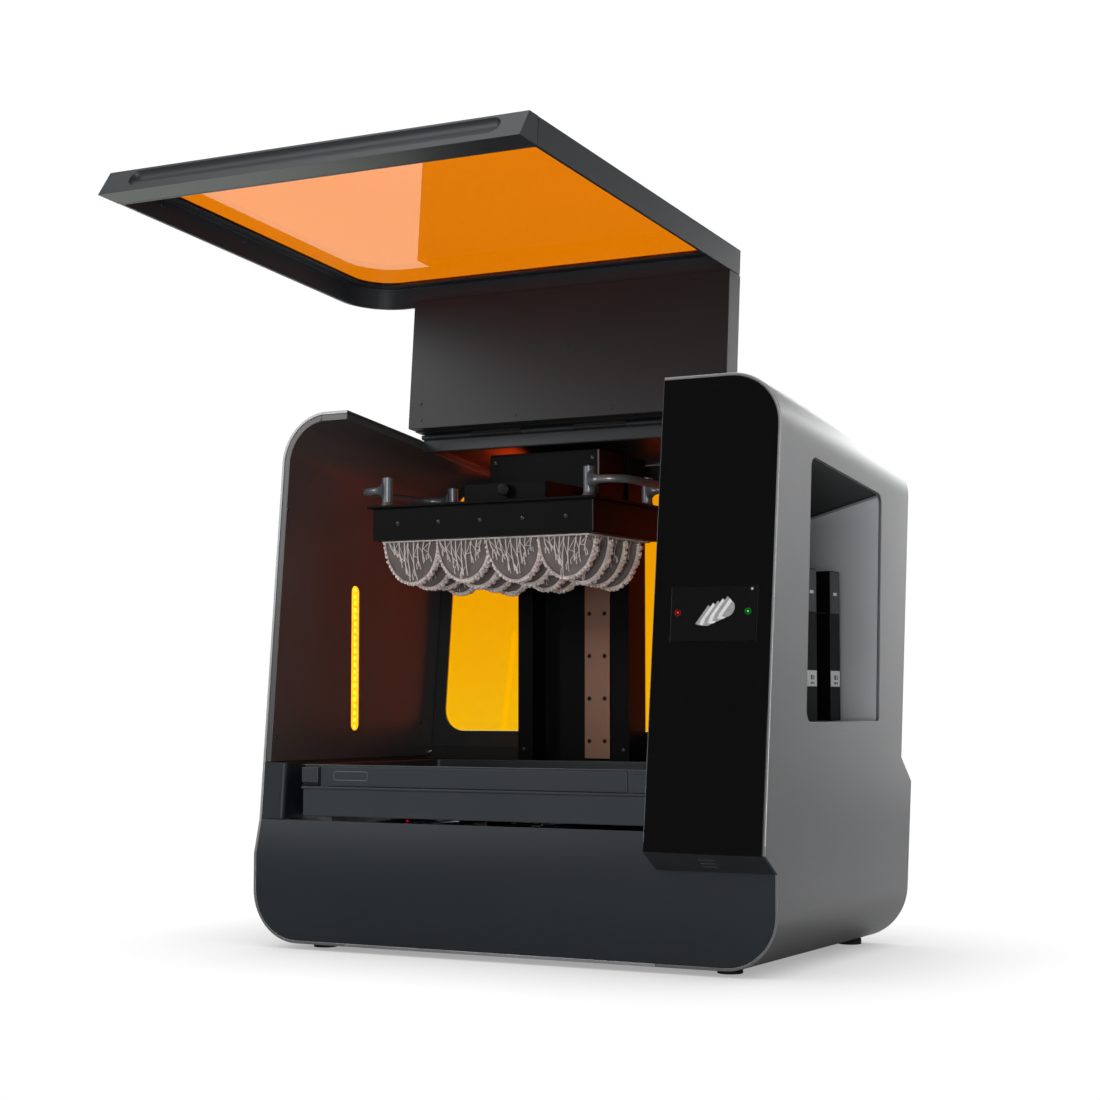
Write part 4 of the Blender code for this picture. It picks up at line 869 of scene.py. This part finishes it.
def build_cover_detail():
    """Screws inside the cover, the seal round its window, and the lip beside its hinge."""
    bm = bmesh.new()
    inner = 0.5577
    for x, w in ((-0.0236, 0.1207), (-0.1025, 0.2155), (0.0510, 0.2142), (-0.2602, 0.1890),
                 (-0.2588, 0.2127)):
        add_screw(bm, (x, w, inner), (0, 0, -1), 0.0022)
    for v in (0.0978, 0.2750, 0.4400):
        add_screw(bm, (-0.3800, 0.0135, v), (1, 0, 0), 0.0026)
        add_screw(bm, (0.2170, 0.0135, v), (-1, 0, 0), 0.0026)
    make_piece("cover_screws", bm, DARK_SCREW, "cover", place=COVER_FRAME, smooth=30)
    seal = bmesh.new()
    outline = rectangle(-0.3640, 0.2010, 0.0430, 0.5700, [0.03, 0.03, 0.03, 0.052], 8)
    path = [(x, 0.0052, v) for x, v in outline]
    add_tube(seal, path + path[:1], 0.0012, 6)
    make_piece("cover_window_seal", seal, RUBBER, "cover", place=COVER_FRAME, smooth=60)
    lip = bmesh.new()
    add_box(lip, (-0.2790, 0.2349, 0.5940), (0.2200, 0.2364, 0.6032))
    add_tube(lip, [(-0.2790, 0.2356, 0.6034), (0.2200, 0.2356, 0.6034)], 0.0009, 8)
    make_piece("hinge_lip", lip, BLACK_PLASTIC, place=TILT_FRAME, smooth=50)


# ---- back and inner workings
def touch(node, start, direction):
    """Where a line in the machine frame first meets a CAD node, and that surface's normal."""
    obj = NODES[node]
    mesh = obj.data
    place = SHIFT.inverted() @ obj.matrix_world
    tree = BVHTree.FromPolygons([place @ v.co for v in mesh.vertices],
                                [tuple(face.vertices) for face in mesh.polygons])
    spot, normal, _, _ = tree.ray_cast(Vector(start), Vector(direction))
    if spot is None:
        raise ValueError(f"{node} isn't under {start}")
    if normal.dot(Vector(direction)) > 0:
        normal = -normal
    return spot, normal


def build_back_detail():
    """Fasteners, louvres and connector pins on the back of the machine."""
    bpy.context.view_layer.update()
    screws = bmesh.new()
    spots = [("rear_cover", x, 0.268) for x in (-0.366, -0.180, 0.0, 0.190, 0.366)]
    spots += [("rear_cover", x, 0.670) for x in (-0.310, -0.180, 0.0, 0.190, 0.310)]
    spots += [("rear_cover", x, z) for x in (-0.366, 0.366) for z in (0.400, 0.540)]
    spots += [("rear_lower_cover", x, 0.225) for x in (-0.350, -0.060, 0.200, 0.366)]
    spots += [("rear_lower_cover", x, 0.030) for x in (-0.300, -0.060, 0.200, 0.300)]
    spots += [("rear_lower_cover", x, 0.125) for x in (-0.366, 0.366)]
    for node, x, z in spots:
        spot, normal = touch(node, (x, FAR, z), (0, -1, 0))
        add_screw(screws, spot, normal, 0.0032)
    for x in (-0.262, -0.030, 0.206):
        for y in (0.300, 0.462):
            spot, normal = touch("rear_top_panel", (x, y, FAR), (0, 0, -1))
            add_screw(screws, spot, normal, 0.0030)
    low, high = machine_box("fan_frame")
    for x in (low.x + 0.0075, high.x - 0.0075):
        for z in (low.z + 0.0075, high.z - 0.0075):
            spot, normal = touch("rear_lower_cover", (x, FAR, z), (0, -1, 0))
            add_screw(screws, spot, normal, 0.0034)
    make_piece("back_screws", screws, DARK_SCREW, smooth=30)
    louvres = bmesh.new()
    for i in range(9):
        z = 0.080 + 0.0115 * i
        spot, _ = touch("rear_lower_cover", (0.060, FAR, z), (0, -1, 0))
        for x0, x1 in ((-0.020, 0.055), (0.065, 0.140)):
            add_prism(louvres, [(x0, spot.y - 0.0010, z - 0.0030), (x0, spot.y - 0.0010, z + 0.0030),
                                (x0, spot.y + 0.0006, z + 0.0030), (x0, spot.y + 0.0042, z - 0.0022),
                                (x0, spot.y + 0.0040, z - 0.0030)], (x1 - x0, 0, 0))
    make_piece("rear_louvres", louvres, GRAPHITE, bevel=0.0003)
    pins = bmesh.new()
    for x, z in ((0.2825, 0.0605), (0.2955, 0.0605), (0.2890, 0.0665)):
        add_box(pins, (x - 0.0010, 0.4395, z - 0.0020), (x + 0.0010, 0.4530, z + 0.0020))
    make_piece("inlet_pins", pins, COPPER, bevel=0.0004)


def build_inner_workings():
    """Small parts on the circuit board, power supply, lift motor and light engines."""
    rng = random.Random(5)
    low, high = machine_box("control_board")
    chips, metal = bmesh.new(), bmesh.new()
    for row in range(5):
        for column in range(4):
            x = low.x + 0.012 + column * 0.028 + rng.uniform(-0.003, 0.003)
            z = low.z + 0.016 + row * 0.034 + rng.uniform(-0.004, 0.004)
            width, tall = rng.uniform(0.004, 0.009), rng.uniform(0.004, 0.010)
            deep = rng.uniform(0.0012, 0.004)
            add_box(chips, (x - width, low.y - deep, z - tall), (x + width, low.y + 0.0002, z + tall))
            for k in range(4):
                leg = z - tall + tall * 2 * (k + 0.5) / 4
                add_box(metal, (x - width - 0.0014, low.y - 0.0006, leg - 0.0005),
                        (x + width + 0.0014, low.y + 0.0001, leg + 0.0005))
    for i in range(3):
        add_turned(metal, (high.x - 0.010, low.y + 0.0001, low.z + 0.020 + 0.016 * i), (0, -1, 0),
                   ((0, 0.0045), (0.0110, 0.0045), (0.0118, 0.0040), (0.0120, 0.0028)), 18)
    make_piece("board_chips", chips, BLACK_PLASTIC, bevel=0.0002)
    make_piece("board_metal", metal, STEEL, smooth=40)

    low, high = machine_box("power_supply")
    vents = bmesh.new()
    for row in range(4):
        for column in range(14):
            x = low.x + 0.020 + row * 0.017
            y = low.y + 0.020 + column * 0.013
            add_turned(vents, (x, y, high.z - 0.0002), (0, 0, 1),
                       ((0, 0.0040), (0.0004, 0.0040), (0.0005, 0.0034)), 6)
    for i in range(6):
        y = low.y + 0.030 + i * 0.012
        add_box(vents, (low.x - 0.0040, y - 0.0050, low.z + 0.012),
                (low.x + 0.0004, y + 0.0050, low.z + 0.024))
    make_piece("supply_vents", vents, BLACK_PLASTIC, smooth=30)

    low, high = machine_box("lift_motor")
    caps = bmesh.new()
    profile = rectangle(low.x - 0.0004, high.x + 0.0004, low.y - 0.0004, high.y + 0.0004, 0.006, 4)
    for z0, z1 in ((low.z - 0.0002, low.z + 0.011), (high.z - 0.013, high.z - 0.001)):
        add_prism(caps, [(x, y, z0) for x, y in profile], (0, 0, z1 - z0))
    add_box(caps, ((low.x + high.x) / 2 - 0.008, low.y - 0.0060, low.z + 0.002),
            ((low.x + high.x) / 2 + 0.008, low.y + 0.0004, low.z + 0.010))
    make_piece("motor_caps", caps, ZINC, bevel=0.0006)

    for name, body in (("light_engine_left", "engine_left"), ("light_engine_right", "engine_right")):
        low, high = machine_box(name)
        middle = (low.x + high.x) / 2
        spot, _ = touch(name, (middle, (low.y + high.y) / 2, 0.4), (0, 0, -1))
        bezel = bmesh.new()
        outer = rectangle(middle - 0.022, middle + 0.022, low.y + 0.020, high.y - 0.020, 0.006, 5)
        inner = rectangle(middle - 0.016, middle + 0.016, low.y + 0.026, high.y - 0.026, 0.003, 5)
        rings = []
        for (ax, ay), (bx, by) in zip(outer, inner):
            rings.append([(ax, ay, spot.z - 0.0004), (ax, ay, spot.z + 0.0016), (bx, by, spot.z + 0.0016),
                          (bx, by, spot.z - 0.0004)])
        loft(bezel, rings, closed=True)
        make_piece(name + "_bezel", bezel, STEEL, body, bevel=0.0003)
        lens = bmesh.new()
        add_prism(lens, [(x, y, spot.z - 0.0002) for x, y in inner], (0, 0, 0.0009))
        make_piece(name + "_window", lens, GLOSS_BLACK, body)


# ---- floor, light, camera
ROOM_FRONT, ROOM_REAR, ROOM_RIGHT_SHARE = 0.06, 0.42, 0.16  # what the object reflects, by direction
# name, place, target, size, watts
SOFTBOXES = (
    ("key_left", (-2.2, -2.4, 1.9), (0, 0, 0.5), (1.6, 1.6), 34),
    ("front_fill", (1.0, -2.9, 0.40), (-0.3, 0.2, 0.45), (1.2, 1.0), 34),
    ("side_right", (3.0, -0.6, 1.5), (0.3, 0, 0.4), (1.6, 2.4), 12),
    ("side_back", (2.4, 2.6, 1.4), (0.385, 0.1, 0.5), (1.0, 1.2), 6),
    ("top", (-0.5, -0.6, 3.0), (0, 0, 0.5), (2.0, 2.0), 26),
    ("rear_glow", (-0.1, 2.0, 0.7), (0, 0.3, 0.5), (1.6, 1.2), 40),
)
CARD_TINT, BOUNCE_TINT = (0.92, 1.0, 0.90), (1.0, 0.06, 0.0)
SENSOR_MM, LENS_MM = 36.0, 70.67
CAMERA_PLACE = (1.39371, -2.40480, 0.33321)  # machine frame
CAMERA_TILT_DEG, CAMERA_TURN_DEG = 93.9916, 28.7325


def build_floor():
    """A pale floor that stays even; close round the machine it darkens with a painted contact shadow from
    ambient occlusion.
    """
    mat, tree, shader = new_material("floor_paper")
    tree.nodes.remove(shader)
    shade = add_node(tree, "AmbientOcclusion", {"Distance": 0.30}, samples=8).outputs["AO"]
    level = remap(tree, shade, 0.0, 1.0, 0.35, SEEN_WHITE)
    fibre = spread(tree, noise(tree, scaled_coords(tree), 400.0), 0.995, 1.005)
    tone = maths(tree, "MULTIPLY", level, fibre)
    seen = add_node(tree, "Emission", {"Color": (1, 1, 1, 1), "Strength": tone})
    real = add_node(tree, "BsdfDiffuse", {"Color": (0.62, 0.62, 0.62, 1)})
    camera_ray = add_node(tree, "LightPath").outputs["Is Camera Ray"]
    look = mix_shaders(tree, camera_ray, real, seen)
    tree.links.new(look, tree.nodes["Material Output"].inputs["Surface"])
    bm = bmesh.new()
    bmesh.ops.create_grid(bm, x_segments=8, y_segments=8, size=60.0)
    mesh = bpy.data.meshes.new("floor")
    bm.to_mesh(mesh)
    bm.free()
    mesh.materials.append(mat)
    add_to_scene("floor", mesh)


def build_world():
    """White where the camera looks; a dim studio for everything the object reflects."""
    world = bpy.data.worlds.new("studio")
    bpy.context.scene.world = world
    world.use_nodes = True
    tree = world.node_tree
    tree.nodes.clear()
    direction = add_node(tree, "TexCoord").outputs["Generated"]
    parts = add_node(tree, "SeparateXYZ", {"Vector": direction}).outputs
    to_rear = remap(tree, parts["Y"], -0.4, 0.9, ROOM_FRONT, ROOM_REAR, interpolation_type="SMOOTHSTEP")
    to_right = remap(tree, parts["X"], 0.0, 0.5, 1.0, ROOM_RIGHT_SHARE, interpolation_type="SMOOTHSTEP")
    level = maths(tree, "MULTIPLY", to_rear, to_right)
    room = add_node(tree, "Background", {"Color": (1, 1, 1, 1), "Strength": level})
    white = add_node(tree, "Background", {"Color": (1, 1, 1, 1), "Strength": SEEN_WHITE})
    camera_ray = add_node(tree, "LightPath").outputs["Is Camera Ray"]
    out = add_node(tree, "OutputWorld")
    tree.links.new(mix_shaders(tree, camera_ray, room, white), out.inputs["Surface"])


def softbox(name, place, target, size, power, colour=(1, 1, 1)):
    """An area light that the camera does not see."""
    data = bpy.data.lights.new(name, "AREA")
    data.shape = "RECTANGLE"
    data.size, data.size_y = size
    data.energy = power
    data.color = colour
    light = add_to_scene(name, data)
    light.location = place
    light.rotation_euler = (Vector(target) - Vector(place)).to_track_quat("-Z", "Y").to_euler()
    light.visible_camera = False
    return light


def build_lights():
    """Soft boxes round the machine, a card for the window to mirror, and amber bounce in the chamber."""
    for settings in SOFTBOXES:
        softbox(*settings)
    card = softbox("mirror_card", (-1.35, 1.25, 0.22), (-0.25, -0.1, 0.95), (2.4, 2.2), 22, CARD_TINT)
    card.visible_diffuse = False
    for x in (-0.210, 0.150):
        softbox("amber_bounce", (x, 0.370, 0.655), (x, 0.350, 0.74), (0.12, 0.06), 0.07, BOUNCE_TINT)


def build_camera():
    data = bpy.data.cameras.new("camera")
    data.sensor_width = SENSOR_MM
    data.lens = LENS_MM
    camera = add_to_scene("camera", data)
    camera.location = SHIFT @ Vector(CAMERA_PLACE)
    camera.rotation_euler = (math.radians(CAMERA_TILT_DEG), 0.0, math.radians(CAMERA_TURN_DEG))
    bpy.context.scene.camera = camera


build_prints()
build_lift_detail()
build_led_dots()
build_tank_detail()
build_chamber_screws()
build_screen()
build_cartridge_detail()
build_trims()
build_cover_detail()
build_back_detail()
build_inner_workings()
build_floor()
build_world()
build_lights()
build_camera()
bpy.context.scene.view_settings.view_transform = "Standard"
